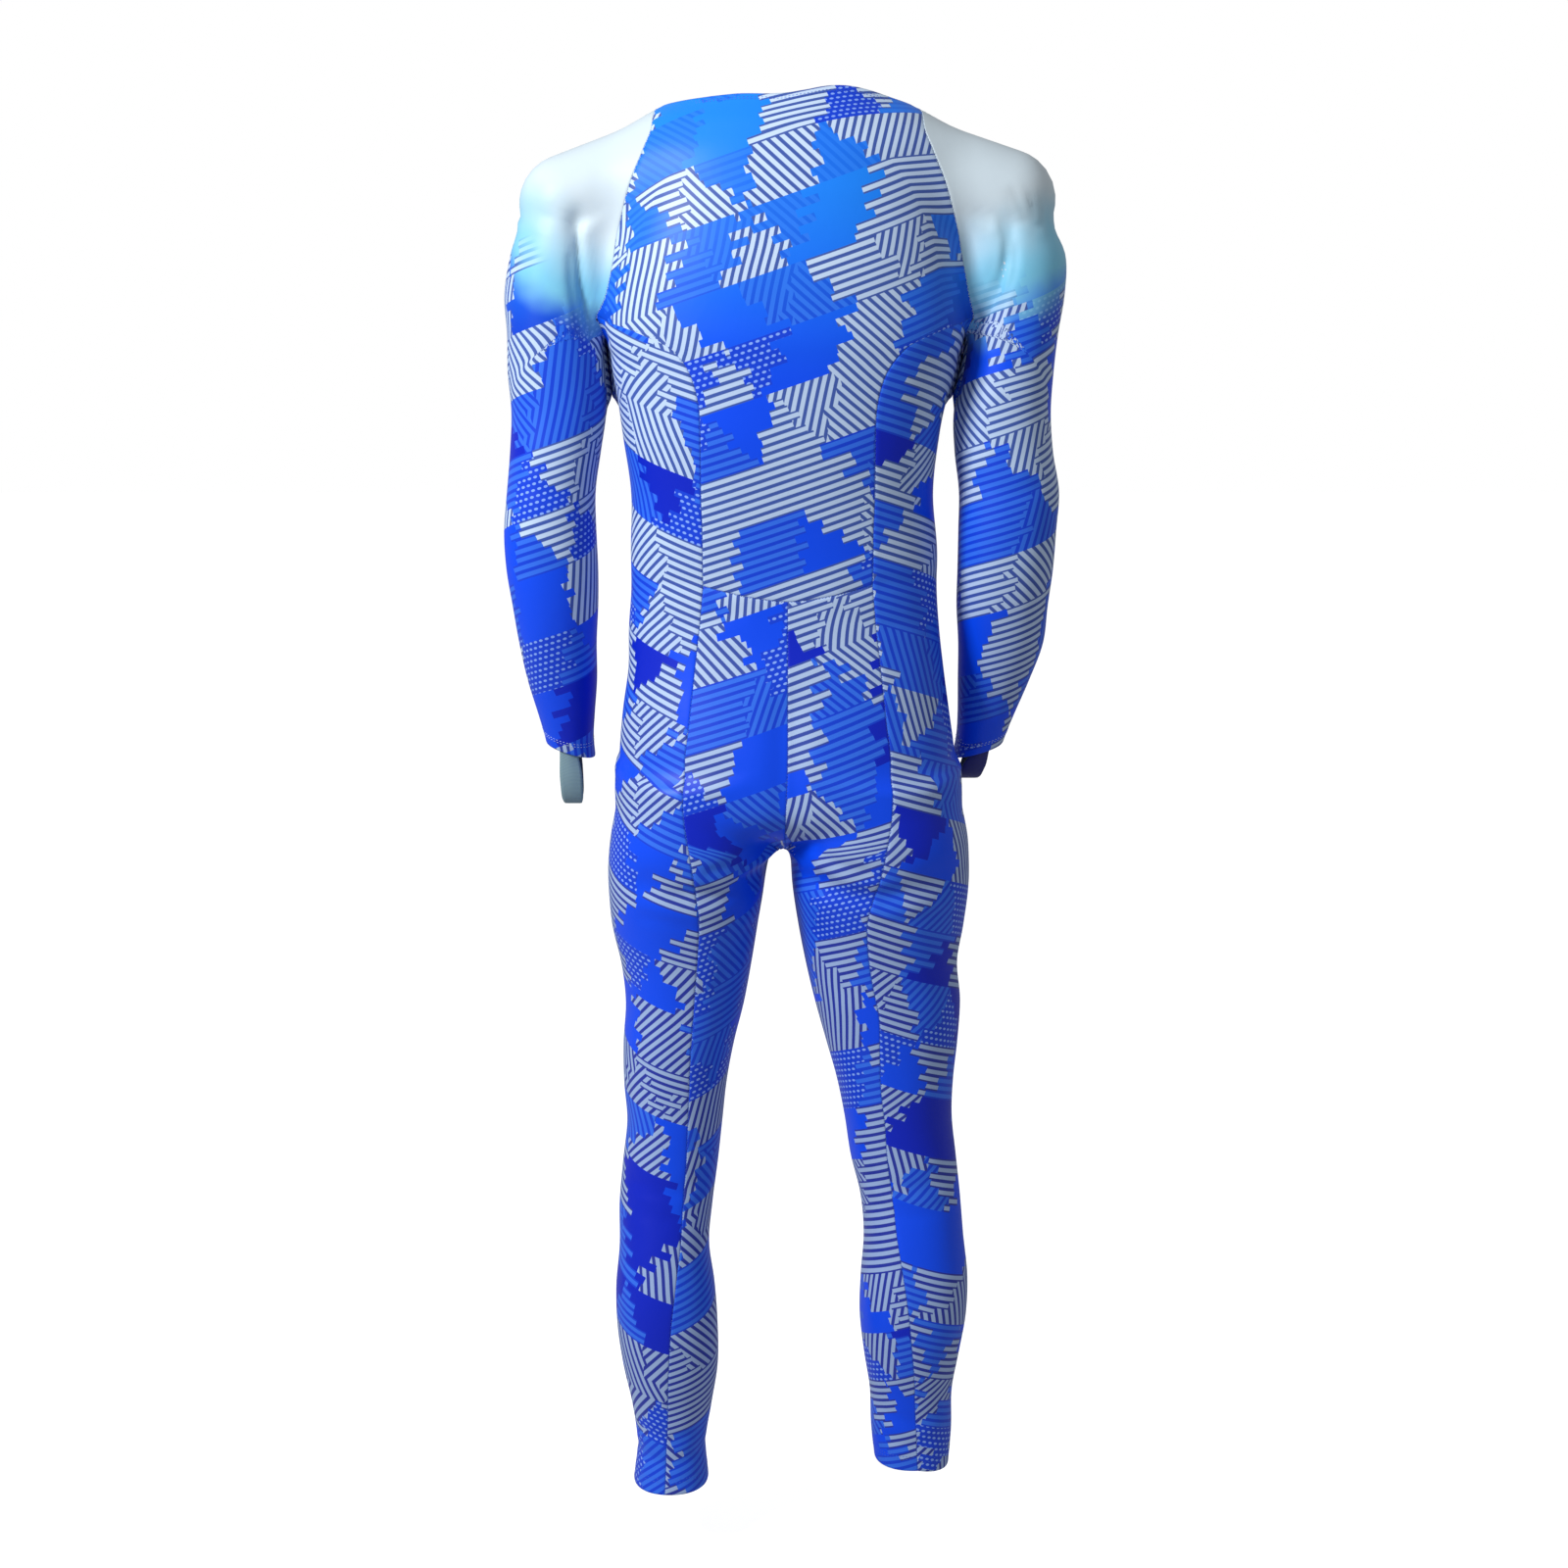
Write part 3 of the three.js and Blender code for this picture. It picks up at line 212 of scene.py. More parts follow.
def trunkForm(x, y, z):
    deep = np.where(y > 0, read(trunkRows, 3, z), read(trunkRows, 4, z))
    body = section(x - read(trunkRows, 1, z), y, read(trunkRows, 2, z), deep, read(trunkRows, 5, z))
    return np.maximum(body, joins["seatFloor"] - z)


def limbForm(table, x, y, z, square):
    dx = x - read(table, 1, z)
    dy = y - read(table, 2, z)
    limb = section(dx, dy, read(table, 3, z), read(table, 4, z), square)
    return np.maximum(np.maximum(limb, z - table[0, 0]), table[-1, 0] - joins["limbPast"] - z)


def rodForm(rod, x, y, z):
    ax, ay, az = rod[4] - rod[0], rod[5] - rod[1], rod[6] - rod[2]
    px, py, pz = x - rod[0], y - rod[1], z - rod[2]
    t = np.clip((px * ax + py * ay + pz * az) / (ax * ax + ay * ay + az * az), 0, 1)
    return np.sqrt((px - t * ax) ** 2 + (py - t * ay) ** 2 + (pz - t * az) ** 2) - mix(rod[3], rod[7], t)


def segmentReach(x, z, ax, az, bx, bz):
    dx, dz = bx - ax, bz - az
    t = np.clip(((x - ax) * dx + (z - az) * dz) / (dx * dx + dz * dz), 0, 1)
    return np.hypot(x - ax - t * dx, z - az - t * dz)


def troughs(rows, x, y, z):
    total = np.zeros(np.shape(x))
    for x0, z0, x1, z1, x2, z2, depth, wide, face in rows:
        near = np.minimum(segmentReach(x, z, x0, z0, x1, z1), segmentReach(x, z, x1, z1, x2, z2))
        total += depth * np.exp(-(near / wide) ** 2) * ease(*joins["foldFace"], y * face)
    return total


def form(points):  # below nought inside the suit's outer face
    x, y, z = points[..., 0], points[..., 1], points[..., 2]
    leftLeg, rightLeg = (limbForm(legRows(side), x, y, z, joins["legSquare"]) for side in (1, -1))
    body = join(trunkForm(x, y, z), join(leftLeg, rightLeg, joins["legs"]), joins["hips"])
    left, right = (join(limbForm(armRows(side), x, y, z, joins["armSquare"]),
                        rodForm(shoulderRods[side], x, y, z), joins["shoulder"]) for side in (1, -1))
    soft = joins["armpit"] + joins["armpitSofter"] * ease(*joins["armpitSpan"], z)
    return join(body, np.where(x > 0, left, right), soft) + troughs(foldRows, x, y, z)


def steepness(points):
    e = search["probe"]
    return np.stack([form(points + e * a) - form(points - e * a) for a in np.eye(3)], -1) / (2 * e)


def outward(points):
    return unit(steepness(points))


def cast(start, way):  # the first place where a ray from inside leaves the form
    start, way = np.broadcast_arrays(np.asarray(start, float), np.asarray(way, float))
    shape = start.shape
    start = start.reshape(-1, 3)
    way = unit(way.reshape(-1, 3))
    near = np.zeros(len(start))
    far = np.zeros(len(start))
    depth = form(start)
    active = depth < 0
    while active.any():
        near[active] = far[active]
        far[active] += np.maximum(search["leastStride"], -search["stride"] * depth[active])
        depth[active] = form(start[active] + way[active] * far[active, None])
        active = (depth < 0) & (far < search["farthest"])
    for _ in range(search["halvings"]):
        mid = (near + far) / 2
        within = form(start + way * mid[:, None]) < 0
        near = np.where(within, mid, near)
        far = np.where(within, far, mid)
    return (start + way * near[:, None]).reshape(shape)


def turn(a, b, t):
    angle = np.arccos(np.clip((a * b).sum(-1), -1, 1))
    s = np.maximum(np.sin(angle), 1e-6)
    straight = angle < 1e-4
    wa = np.where(straight, 1 - t, np.sin((1 - t) * angle) / s)
    wb = np.where(straight, t, np.sin(t * angle) / s)
    return a * wa[..., None] + b * wb[..., None]


def curve(places, samples=60):
    p = np.array(places, float)
    p = np.vstack([2 * p[0] - p[1], p, 2 * p[-1] - p[-2]])
    line = []
    for i in range(1, len(p) - 2):
        t = np.linspace(0, 1, samples, endpoint=False)[:, None]
        a, b, c, d = p[i - 1], p[i], p[i + 1], p[i + 2]
        line.append(0.5 * (2 * b + (c - a) * t + (2 * a - 5 * b + 4 * c - d) * t * t
                           + (3 * b - a - 3 * c + d) * t ** 3))
    return np.vstack(line + [p[-2:-1]])


def alongLine(line, shares):
    reach = np.concatenate([[0], np.cumsum(np.linalg.norm(np.diff(line, axis=0), axis=1))])
    at = np.asarray(shares) * reach[-1]
    return np.stack([np.interp(at, reach, line[:, k]) for k in range(3)], -1)


def legRows(side):
    return leftLegRows if side > 0 else rightLegRows


def armRows(side):
    return leftArmRows if side > 0 else rightArmRows


def legAxis(side, z):
    share = ease(*innerPlaces["legAxis"], z)
    x = mix(read(trunkRows, 1, z), read(legRows(side), 1, z), share)
    return np.stack([x, mix(0, read(legRows(side), 2, z), share), z + 0 * x], -1)


def trunkAxis(z):
    x = read(trunkRows, 1, z)
    return np.stack([x, 0 * x + innerPlaces["trunk"], z + 0 * x], -1)


def neckPoint(bearing):
    bearing = np.asarray(bearing, float)
    left = read(neckRows, 1, np.abs(bearing))
    right = read(neckRows, 2, np.abs(bearing))
    z = np.where(bearing >= 0, left, right)
    rad = np.radians(bearing)
    centre = np.stack([0 * z, 0 * z + innerPlaces["neck"], z], -1)
    return cast(centre, np.stack([np.sin(rad), np.cos(rad), 0 * rad], -1))


def raglanSeam(side, face, rows, top, bottom):
    places = [top] + [(side * x, y, z) for x, y, z in rows] + [bottom]
    line = alongLine(curve(places), np.linspace(0, 1, suitCut["raglanSteps"] + 1))
    inner = line[1:-1].copy()
    inner[:, 1] = innerPlaces["raglan"]
    line[1:-1] = cast(inner, (0, face, 0))
    return line


def underarmSeam(side):  # along the valley between body and arm
    steps = suitCut["underarmSteps"]
    low, high = innerPlaces["pitAcross"]
    xs = side * np.arange(low, high + 0.1, innerPlaces["pitEvery"])
    y, z = innerPlaces["pit"]
    centres = np.stack([xs, 0 * xs + y, 0 * xs + z], -1)
    places = []
    for i in range(-steps, steps + 1):
        dip = math.radians(90 - abs(i) * innerPlaces["pitSwing"] / steps)
        way = (0, (1 if i <= 0 else -1) * math.cos(dip), -math.sin(dip))
        hits = cast(centres, way)
        places.append(hits[np.argmin(np.linalg.norm(hits - centres, axis=1))])
    return np.array(places)


def stationHeights(side):
    z = seamRows[:, 1].copy()
    z[-1] = suitCut["hem"][side]
    return z


def sideSeam(side, face, top):
    z = stationHeights(side)
    i = np.arange(len(z))
    lean = read(legRows(side), 1, z) - side * read(leftLegRows, 1, z)
    shift = (top[0] - side * sideCut["pitX"]) * np.maximum(0, 1 - i / sideCut["pitStations"])
    x = side * seamRows[:, 0] + shift + lean * ease(*sideCut["lean"], z)
    y = mix(0, read(legRows(side), 2, z), ease(*sideCut["leg"], z))
    line = cast(np.stack([x, y, z], -1), (0, face, 0))
    line[0] = top
    return line


crotch = cast(suitCut["crotchFrom"], (0, 0, -1))


def inseam(side):
    z = stationHeights(side)[suitCut["crotchStation"]:]
    line = cast(legAxis(side, z), (-side, 0, 0))
    line[0] = crotch
    return line


def drape(edgeA, edgeB, columns, face, axis, top=None, bottom=None, rise=None, around=0):
    u = np.linspace(0, 1, columns + 1)[None, :]
    s = np.arange(len(edgeA))[:, None]
    a, b = edgeA[:, None, :], edgeB[:, None, :]
    bulge = 1 - np.abs(2 * u - 1) ** 2
    lift = 0 if rise is None else rise[:, None] - (a[..., 2] + b[..., 2]) / 2
    z = mix(a[..., 2], b[..., 2], u) + lift * bulge
    if top is not None:
        fade = np.maximum(0, 1 - s / suitCut["topRows"]) ** suitCut["topBend"]
        z = z + (top[:, 2] - z[0])[None, :] * fade
    centre = axis(z)
    angleA = np.arctan2(a[..., 0] - centre[..., 0], (a[..., 1] - centre[..., 1]) * face)
    angleB = np.arctan2(b[..., 0] - centre[..., 0], (b[..., 1] - centre[..., 1]) * face)
    if around:
        angleB = np.where(angleB * around < angleA * around, angleB + 2 * math.pi * around, angleB)
    angle = mix(angleA, angleB, u)
    grid = cast(centre, np.stack([np.sin(angle), np.cos(angle) * face, 0 * angle], -1))
    grid[:, 0] = edgeA
    grid[:, -1] = edgeB
    if top is not None:
        grid[0] = top
    if bottom is not None:
        grid[-1] = bottom
    return grid


def sleeveAxis(side, t):
    rod = shoulderRods[side]
    x, y, z = sleeveCut["neckEnd"]
    places = [(rod[0] + side * x, y, z), (mix(rod[0], rod[4], 0.5), *sleeveCut["middle"]),
              (rod[4], rod[5], rod[6] - sleeveCut["armDrop"])]
    places += [(row[1], row[2], row[0]) for row in armRows(side)[2:-1]]
    line = curve(places)
    ahead = alongLine(line, np.minimum(t + sleeveCut["ahead"], 1))
    behind = alongLine(line, np.maximum(t - sleeveCut["ahead"], 0))
    return alongLine(line, t), unit(ahead - behind)


def sleeveHalf(side, face, seam):
    t = np.linspace(0, 1, len(seam))
    centre, along = sleeveAxis(side, t)
    out = np.stack([-along[:, 2], 0 * t, along[:, 0]], -1)
    out = unit(out * np.where(out[:, :1] * side < 0, -1, 1))
    centre[-1, 2] = (suitCut["cuffOuter"] + suitCut["cuffInner"]) / 2
    out[-1] = unit(np.array([side, 0, (suitCut["cuffOuter"] - centre[-1, 2]) / sleeveCut["cuffLean"]]))
    edge = cast(centre, out)
    a = unit(seam - centre)
    b = unit(edge - centre)
    part = (1 - (a * b).sum(-1)) / 2
    guide = unit(a + b + np.stack([0 * t, face * 2 * part, 0 * t], -1))
    columns = suitCut["halfColumns"]
    u = np.linspace(0, 1, columns + 1)[None, :].repeat(len(seam), axis=0)
    a, b, guide, centre = (v[:, None, :].repeat(columns + 1, axis=1) for v in (a, b, guide, centre))
    ways = unit(turn(turn(a, guide, u), turn(guide, b, u), u))
    grid = cast(centre, ways)
    grid[:, 0] = seam
    grid[:, -1] = edge
    return grid


def openWidth(z):
    share = np.clip((z - frontZip["stop"]) / (frontZip["top"] - frontZip["stop"]), 0, 1)
    return frontZip["gap"] + frontZip["openHalf"] * share ** frontZip["openBend"]


def tapeWidth(z):
    return frontZip["tapeWidth"] * ease(*frontZip["tapeFoot"], z)


seams = {}
for side in (1, -1):
    pit = underarmSeam(side)
    topBack, topFront = (neckPoint(side * bearing) for bearing in neckSeams)
    seams[side] = {
        "pit": pit, "inseam": inseam(side),
        "raglanBack": raglanSeam(side, 1, backRaglan, topBack, pit[0]),
        "raglanFront": raglanSeam(side, -1, frontRaglan, topFront, pit[-1]),
        "sideBack": sideSeam(side, 1, pit[0]), "sideFront": sideSeam(side, -1, pit[-1])}
print("stage: seams found", flush=True)

waistAt, crotchAt = suitCut["waistStation"], suitCut["crotchStation"]
backColumns, halfColumns = suitCut["backColumns"], suitCut["halfColumns"]
upper = {s: np.vstack([seams[s]["raglanBack"], seams[s]["sideBack"][1:waistAt + 1]]) for s in (1, -1)}
acrossBack = np.linspace(0, 1, backColumns + 1)
neckRow = neckPoint(mix(neckSeams[0], -neckSeams[0], acrossBack))
neckRow[0], neckRow[-1] = upper[1][0], upper[-1][0]
waistZ = mix(suitCut["waistSides"], suitCut["waistMiddle"],
             1 - np.abs(2 * acrossBack - 1) ** suitCut["waistBend"])
waistX = mix(upper[1][-1][0], upper[-1][-1][0], acrossBack)
waistRow = cast(np.stack([waistX, 0 * waistX, waistZ], -1), (0, 1, 0))
waistRow[0], waistRow[-1] = upper[1][-1], upper[-1][-1]
riseShare = np.linspace(0, 1, len(upper[1]))
backRise = mix(suitCut["neckMiddle"], suitCut["waistMiddle"], riseShare)
grids = {"back_upper": drape(upper[1], upper[-1], backColumns, 1, trunkAxis, top=neckRow,
                             bottom=waistRow, rise=backRise)}
seatZ = mix(suitCut["waistMiddle"], crotch[2], np.linspace(0, 1, crotchAt - waistAt + 1))
seatX = suitCut["crotchFrom"][0] * ease(*sideCut["leg"], seatZ)
seatMiddle = cast(np.stack([seatX, 0 * seatZ, seatZ], -1), (0, 1, 0))
seatMiddle[0], seatMiddle[-1] = waistRow[backColumns // 2], crotch

# Heights down the front edge: evenly to the chest, then settling to the stations' own heights
chestStep = suitCut["raglanSteps"] + suitCut["chestStation"]
settleStep = suitCut["raglanSteps"] + suitCut["settleStation"]
frontStep = suitCut["raglanSteps"] + crotchAt
step = np.arange(frontStep + 1)
settleZ = seamRows[suitCut["settleStation"], 1]
zipZ = np.where(step <= chestStep, mix(frontZip["top"], suitCut["chest"], step / chestStep),
                mix(suitCut["chest"], settleZ, (step - chestStep) / (settleStep - chestStep)))
lower = np.maximum(step - suitCut["raglanSteps"], 0)
zipZ = np.where(step > settleStep, seamRows[lower, 1], zipZ)
zipZ[-1] = crotch[2]

tapeGrids = {}
for side in (1, -1):
    name = "left" if side > 0 else "right"
    sewn = seams[side]
    half = waistRow[:backColumns // 2 + 1] if side > 0 else waistRow[backColumns // 2:][::-1]
    grids[f"seat_leg_{name}"] = drape(
        sewn["sideBack"][waistAt:], np.vstack([seatMiddle, sewn["inseam"][1:]]), halfColumns, 1,
        lambda z, s=side: legAxis(s, z), top=half, around=-side)
    panel = drape(sewn["sideBack"], sewn["sideFront"], 2 * suitCut["underarmSteps"], 1,
                  lambda z, s=side: legAxis(s, z), rise=seamRows[:, 2], around=side)
    panel[0] = sewn["pit"]
    grids[f"side_{name}"] = panel
    outer = np.vstack([sewn["raglanFront"], sewn["sideFront"][1:]])
    x = side * (openWidth(zipZ) - frontZip["gap"] + tapeWidth(zipZ))
    frontEdge = cast(np.stack([x, 0 * x + innerPlaces["front"], zipZ], -1), (0, -1, 0))
    frontEdge[-1] = crotch
    endBearing = math.degrees(math.atan2(abs(frontEdge[0][0]), frontEdge[0][1] - innerPlaces["neck"]))
    frontTop = neckPoint(side * np.linspace(neckSeams[1], endBearing, halfColumns + 1))
    frontTop[0], frontTop[-1] = outer[0], frontEdge[0]
    grids[f"front_{name}"] = drape(outer, np.vstack([frontEdge, sewn["inseam"][1:]]), halfColumns, -1,
                                   lambda z, s=side: legAxis(s, z), top=frontTop, around=-side)
    pitAt = suitCut["underarmSteps"]
    armZ = np.linspace(sewn["pit"][pitAt][2], suitCut["cuffInner"], suitCut["armSteps"] + 1)[1:]
    table = armRows(side)
    innerArm = cast(np.stack([read(table, 1, armZ), read(table, 2, armZ), armZ], -1), (-side, 0, 0))
    seamBack = np.vstack([sewn["raglanBack"], sewn["pit"][1:pitAt + 1], innerArm])
    seamFront = np.vstack([sewn["raglanFront"], sewn["pit"][pitAt:-1][::-1], innerArm])
    grids[f"sleeve_back_{name}"] = sleeveHalf(side, 1, seamBack)
    grids[f"sleeve_front_{name}"] = sleeveHalf(side, -1, seamFront)
    keep = tapeWidth(zipZ) > frontZip["tapeLeast"]
    near, far = side * (openWidth(zipZ[keep]) - frontZip["gap"]), frontEdge[keep, 0]
    level = 0 * near + innerPlaces["front"]
    tapeGrids[side] = np.stack([cast(np.stack([mix(far, near, w), level, zipZ[keep]], -1), (0, -1, 0))
                                for w in (0, 0.5, 1)], 1)
print("stage: panels draped", flush=True)


def finer(count, times, close=0.0):  # places along a grid side, some close to its ends
    at = np.linspace(0, count, count * times + 1)
    return np.concatenate([[0, close], at[1:-1], [count - close, count]]) if close else at


def refine(grid, at, axis):
    g = np.moveaxis(np.asarray(grid, float), axis, 0)
    slopes = np.empty_like(g)
    slopes[1:-1] = (g[2:] - g[:-2]) / 2
    slopes[0] = g[1] - g[0]
    slopes[-1] = g[-1] - g[-2]
    i = np.clip(np.floor(at).astype(int), 0, len(g) - 2)
    t = (at - i).reshape(-1, *([1] * (g.ndim - 1)))
    t2 = t * t
    t3 = t2 * t
    out = ((2 * t3 - 3 * t2 + 1) * g[i] + (t3 - 2 * t2 + t) * slopes[i]
           + (3 * t2 - 2 * t3) * g[i + 1] + (t3 - t2) * slopes[i + 1])
    return np.moveaxis(out, 0, axis)


def settle(points):  # moves points onto the suit's form
    for _ in range(search["steps"]):
        g = steepness(points)
        gap = form(points)
        points = points - g * (gap / np.maximum((g * g).sum(-1), search["flattest"]))[..., None]
    return points


cloth = {"finer": 5, "beside": 0.07, "thick": 1.0, "groove": 0.5, "rimRound": 0.35}
# Where the cloth swells below the armpits, how far it looks for its neighbour, and what stays apart
underarm = {"low": -252.0, "soft": 9.0, "front": -62.0, "back": 4.0, "ramp": 18.0, "ceiling": -150,
            "sideways": 0.4, "nearest": 1.5, "reach": 26.0, "step": 0.75, "apart": 1.4}
# How the maps are laid: the shoulders' slope counts as height, and a strip's rows are evened out
mapping = {"yokeFrom": 70, "yokeSpan": (-200, -60), "yokeShare": 0.6, "level": 0.7}


def underarmTouch(points, n):  # the arm's cloth and the body's nearly meet below the armpit
    push = np.zeros(points.shape[:-1])
    y, z = points[..., 1], points[..., 2]
    share = ease(underarm["low"] - underarm["soft"], underarm["low"] + underarm["soft"], z)
    share = share * ease(underarm["front"], underarm["front"] + underarm["ramp"], y)
    share = share * (1 - ease(underarm["back"] - underarm["ramp"], underarm["back"], y))
    near = (share > 0) & (z < underarm["ceiling"]) & (np.abs(n[..., 0]) > underarm["sideways"])
    start, way = points[near], n[near]
    gap = np.full(len(start), underarm["reach"])
    for step in np.arange(underarm["nearest"], underarm["reach"], underarm["step"])[::-1]:
        gap[form(start + way * step) < 0] = step
    push[near] = share[near] * (gap < underarm["reach"]) * np.maximum(gap - underarm["apart"], 0) / 2
    return push


def finePanel(grid):
    rows = finer(len(grid) - 1, cloth["finer"], cloth["beside"])
    columns = finer(grid.shape[1] - 1, cloth["finer"], cloth["beside"])
    # an edge's fine points come from its own coarse points, so neighbours meet
    fine = settle(refine(refine(grid, rows, 0), columns, 1))
    n = outward(fine)
    depth = troughs(creaseRows, fine[..., 0], fine[..., 1], fine[..., 2])
    return fine + n * (underarmTouch(fine, n) - depth)[..., None], n


def lengths(grid, axis):  # how far each place lies from its row's or column's start
    steps = np.linalg.norm(np.diff(grid, axis=axis), axis=2)
    start = np.zeros_like(np.take(steps, [0], axis))
    return np.concatenate([start, np.cumsum(steps, axis=axis)], axis)


def printMap(grid):  # the print's map in metres: level round the body from the middle, and up
    across = lengths(grid[..., :2], 1)
    across -= across[:, grid.shape[1] // 2][:, None]
    if grid[len(grid) // 2, -1, 0] > grid[len(grid) // 2, 0, 0]:
        across = -across
    y, z = grid[..., 1], grid[..., 2]
    yoke = np.maximum(mapping["yokeFrom"] - y, 0) * ease(*mapping["yokeSpan"], z)
    yoke = yoke * (y[-1].mean() > 0) * mapping["yokeShare"]
    return np.stack([across, z + yoke], -1) * mm


def stripMap(grid):  # a strip's map in metres: across from the middle, and down
    middle = grid.shape[1] // 2
    across = lengths(grid, 1)
    across -= across[:, middle][:, None]
    down = lengths(grid, 0)
    down = mix(down, down[:, middle][:, None], mapping["level"])
    return np.stack([across, -down], -1) * mm


def meshPiece(name, points, faces, uvs=None):
    mesh = bpy.data.meshes.new(name)
    mesh.from_pydata([tuple(p) for p in points], [], faces)
    if uvs is not None:
        layer = mesh.uv_layers.new(name="cut")
        corner = np.empty(len(mesh.loops), int)
        mesh.loops.foreach_get("vertex_index", corner)
        layer.data.foreach_set("uv", np.asarray(uvs)[corner].ravel().astype(np.float32))
    mesh.polygons.foreach_set("use_smooth", [True] * len(mesh.polygons))
    mesh.update()
    piece = bpy.data.objects.new(name, mesh)
    bpy.context.collection.objects.link(piece)
    return piece


def clothShell(name, grid, normals, thick, groove, sewn=(1, 1, 1, 1), layout=stripMap):
    rows, columns = grid.shape[:2]
    dip = np.zeros((rows, columns))
    rim = np.zeros((rows, columns), bool)
    for part, held in zip((np.s_[0, :], np.s_[-1, :], np.s_[:, 0], np.s_[:, -1]), sewn):
        dip[part] = np.maximum(dip[part], held * groove + (1 - held) * cloth["rimRound"] * thick)
        rim[part] = True
    outer = grid - normals * dip[..., None]
    inner = np.where(rim[..., None], outer - normals * (thick * 0.5), grid - normals * thick)
    uv = layout(grid).reshape(-1, 2)
    points = np.vstack([outer.reshape(-1, 3), inner.reshape(-1, 3)]) * mm
    total = rows * columns
    k = (np.arange(rows - 1)[:, None] * columns + np.arange(columns - 1)[None, :]).ravel()
    quads = np.stack([k, k + 1, k + 1 + columns, k + columns], -1)
    i, j = rows // 2, columns // 2
    way = np.cross(grid[i, j + 1] - grid[i, j], grid[i + 1, j] - grid[i, j])
    flip = np.dot(way, normals[i, j]) < 0
    if flip:
        quads = quads[:, ::-1]
    faces = quads.tolist() + (quads[:, ::-1] + total).tolist()
    loop = list(range(columns - 1)) + [r * columns + columns - 1 for r in range(rows - 1)]
    loop += [(rows - 1) * columns + c for c in range(columns - 1, 0, -1)]
    loop += [r * columns for r in range(rows - 1, 0, -1)]
    for p, q in zip(loop, loop[1:] + loop[:1]):
        faces.append([q, q + total, p + total, p] if flip else [p, p + total, q + total, q])
    return meshPiece(name, points, faces, np.vstack([uv, uv]))


panelCuts = {  # each panel's slot, and what it is sewn to
    "back_upper": ("suit_cloth", []),
    "seat_leg_left": ("suit_cloth", ["cloth_back_upper"]),
    "seat_leg_right": ("suit_cloth", ["cloth_back_upper"]),
    "side_left": ("suit_cloth", ["cloth_back_upper"]),
    "side_right": ("suit_cloth", ["cloth_back_upper"]),
    "front_left": ("suit_cloth", ["cloth_side_left"]),
    "front_right": ("suit_cloth", ["cloth_side_right"]),
    "sleeve_back_left": ("sleeve_cloth", ["cloth_back_upper"]),
    "sleeve_back_right": ("sleeve_cloth", ["cloth_back_upper"]),
    "sleeve_front_left": ("sleeve_cloth", ["cloth_front_left"]),
    "sleeve_front_right": ("sleeve_cloth", ["cloth_front_right"]),
}
sewnEdges = {"back_upper": (0, 1, 1, 1), "seat_leg": (1, 0, 1, 1), "side": (1, 0, 1, 1),
             "front": (0, 0, 1, 1), "sleeve_back": (0, 0, 1, 1), "sleeve_front": (0, 0, 1, 1)}


def newMaterial(name, rough, metal=0.0, sheen=0.0, specular=0.5):
    mat = bpy.data.materials.new(name)
    mat.use_nodes = True
    shader = mat.node_tree.nodes["Principled BSDF"]
    shader.inputs["Roughness"].default_value = rough
    shader.inputs["Metallic"].default_value = metal
    shader.inputs["Sheen Weight"].default_value = sheen
    shader.inputs["Sheen Roughness"].default_value = 0.4
    shader.inputs["Specular IOR Level"].default_value = specular
    return mat, mat.node_tree, shader


class Sums:  # short calls for a node tree's sums
    def __init__(self, tree):
        self.tree = tree

    def plug(self, socket, value):
        if isinstance(value, (int, float)):
            socket.default_value = value
        elif isinstance(value, tuple):
            socket.default_value = value if len(value) == len(socket.default_value) else (*value, 1)
        else:
            self.tree.links.new(value, socket)

    def math(self, kind, a, b=0.0):
        node = self.tree.nodes.new("ShaderNodeMath")
        node.operation = kind
        self.plug(node.inputs[0], a)
        self.plug(node.inputs[1], b)
        return node.outputs[0]

    def add(self, a, b):
        return self.math("ADD", a, b)

    def sub(self, a, b):
        return self.math("SUBTRACT", a, b)

    def mul(self, a, b):
        return self.math("MULTIPLY", a, b)

    def over(self, a, b):
        return self.math("GREATER_THAN", a, b)

    def step(self, v, low, high):
        node = self.tree.nodes.new("ShaderNodeMapRange")
        node.interpolation_type = "SMOOTHSTEP"
        self.plug(node.inputs["Value"], v)
        node.inputs["From Min"].default_value = low
        node.inputs["From Max"].default_value = high
        return node.outputs["Result"]

    def blend(self, share, a, b):
        node = self.tree.nodes.new("ShaderNodeMix")
        node.data_type = "RGBA"
        self.plug(node.inputs[0], share)
        self.plug(node.inputs[6], a)
        self.plug(node.inputs[7], b)
        return node.outputs[2]

    def noise(self, vector, scale, detail=2.0):
        node = self.tree.nodes.new("ShaderNodeTexNoise")
        self.plug(node.inputs["Vector"], vector)
        node.inputs["Scale"].default_value = scale
        node.inputs["Detail"].default_value = detail
        return node.outputs["Fac"]

    def chance(self, x, y, z):
        three = self.tree.nodes.new("ShaderNodeCombineXYZ")
        for socket, value in zip(three.inputs, (x, y, z)):
            self.plug(socket, value)
        node = self.tree.nodes.new("ShaderNodeTexWhiteNoise")
        node.noise_dimensions = "3D"
        self.tree.links.new(three.outputs[0], node.inputs["Vector"])
        return node.outputs["Value"]


def cutPlace(tree):  # across and up on the cloth's own map
    uvNode = tree.nodes.new("ShaderNodeUVMap")
    uvNode.uv_map = "cut"
    flat = tree.nodes.new("ShaderNodeSeparateXYZ")
    tree.links.new(uvNode.outputs[0], flat.inputs[0])
    return flat.outputs[0], flat.outputs[1]


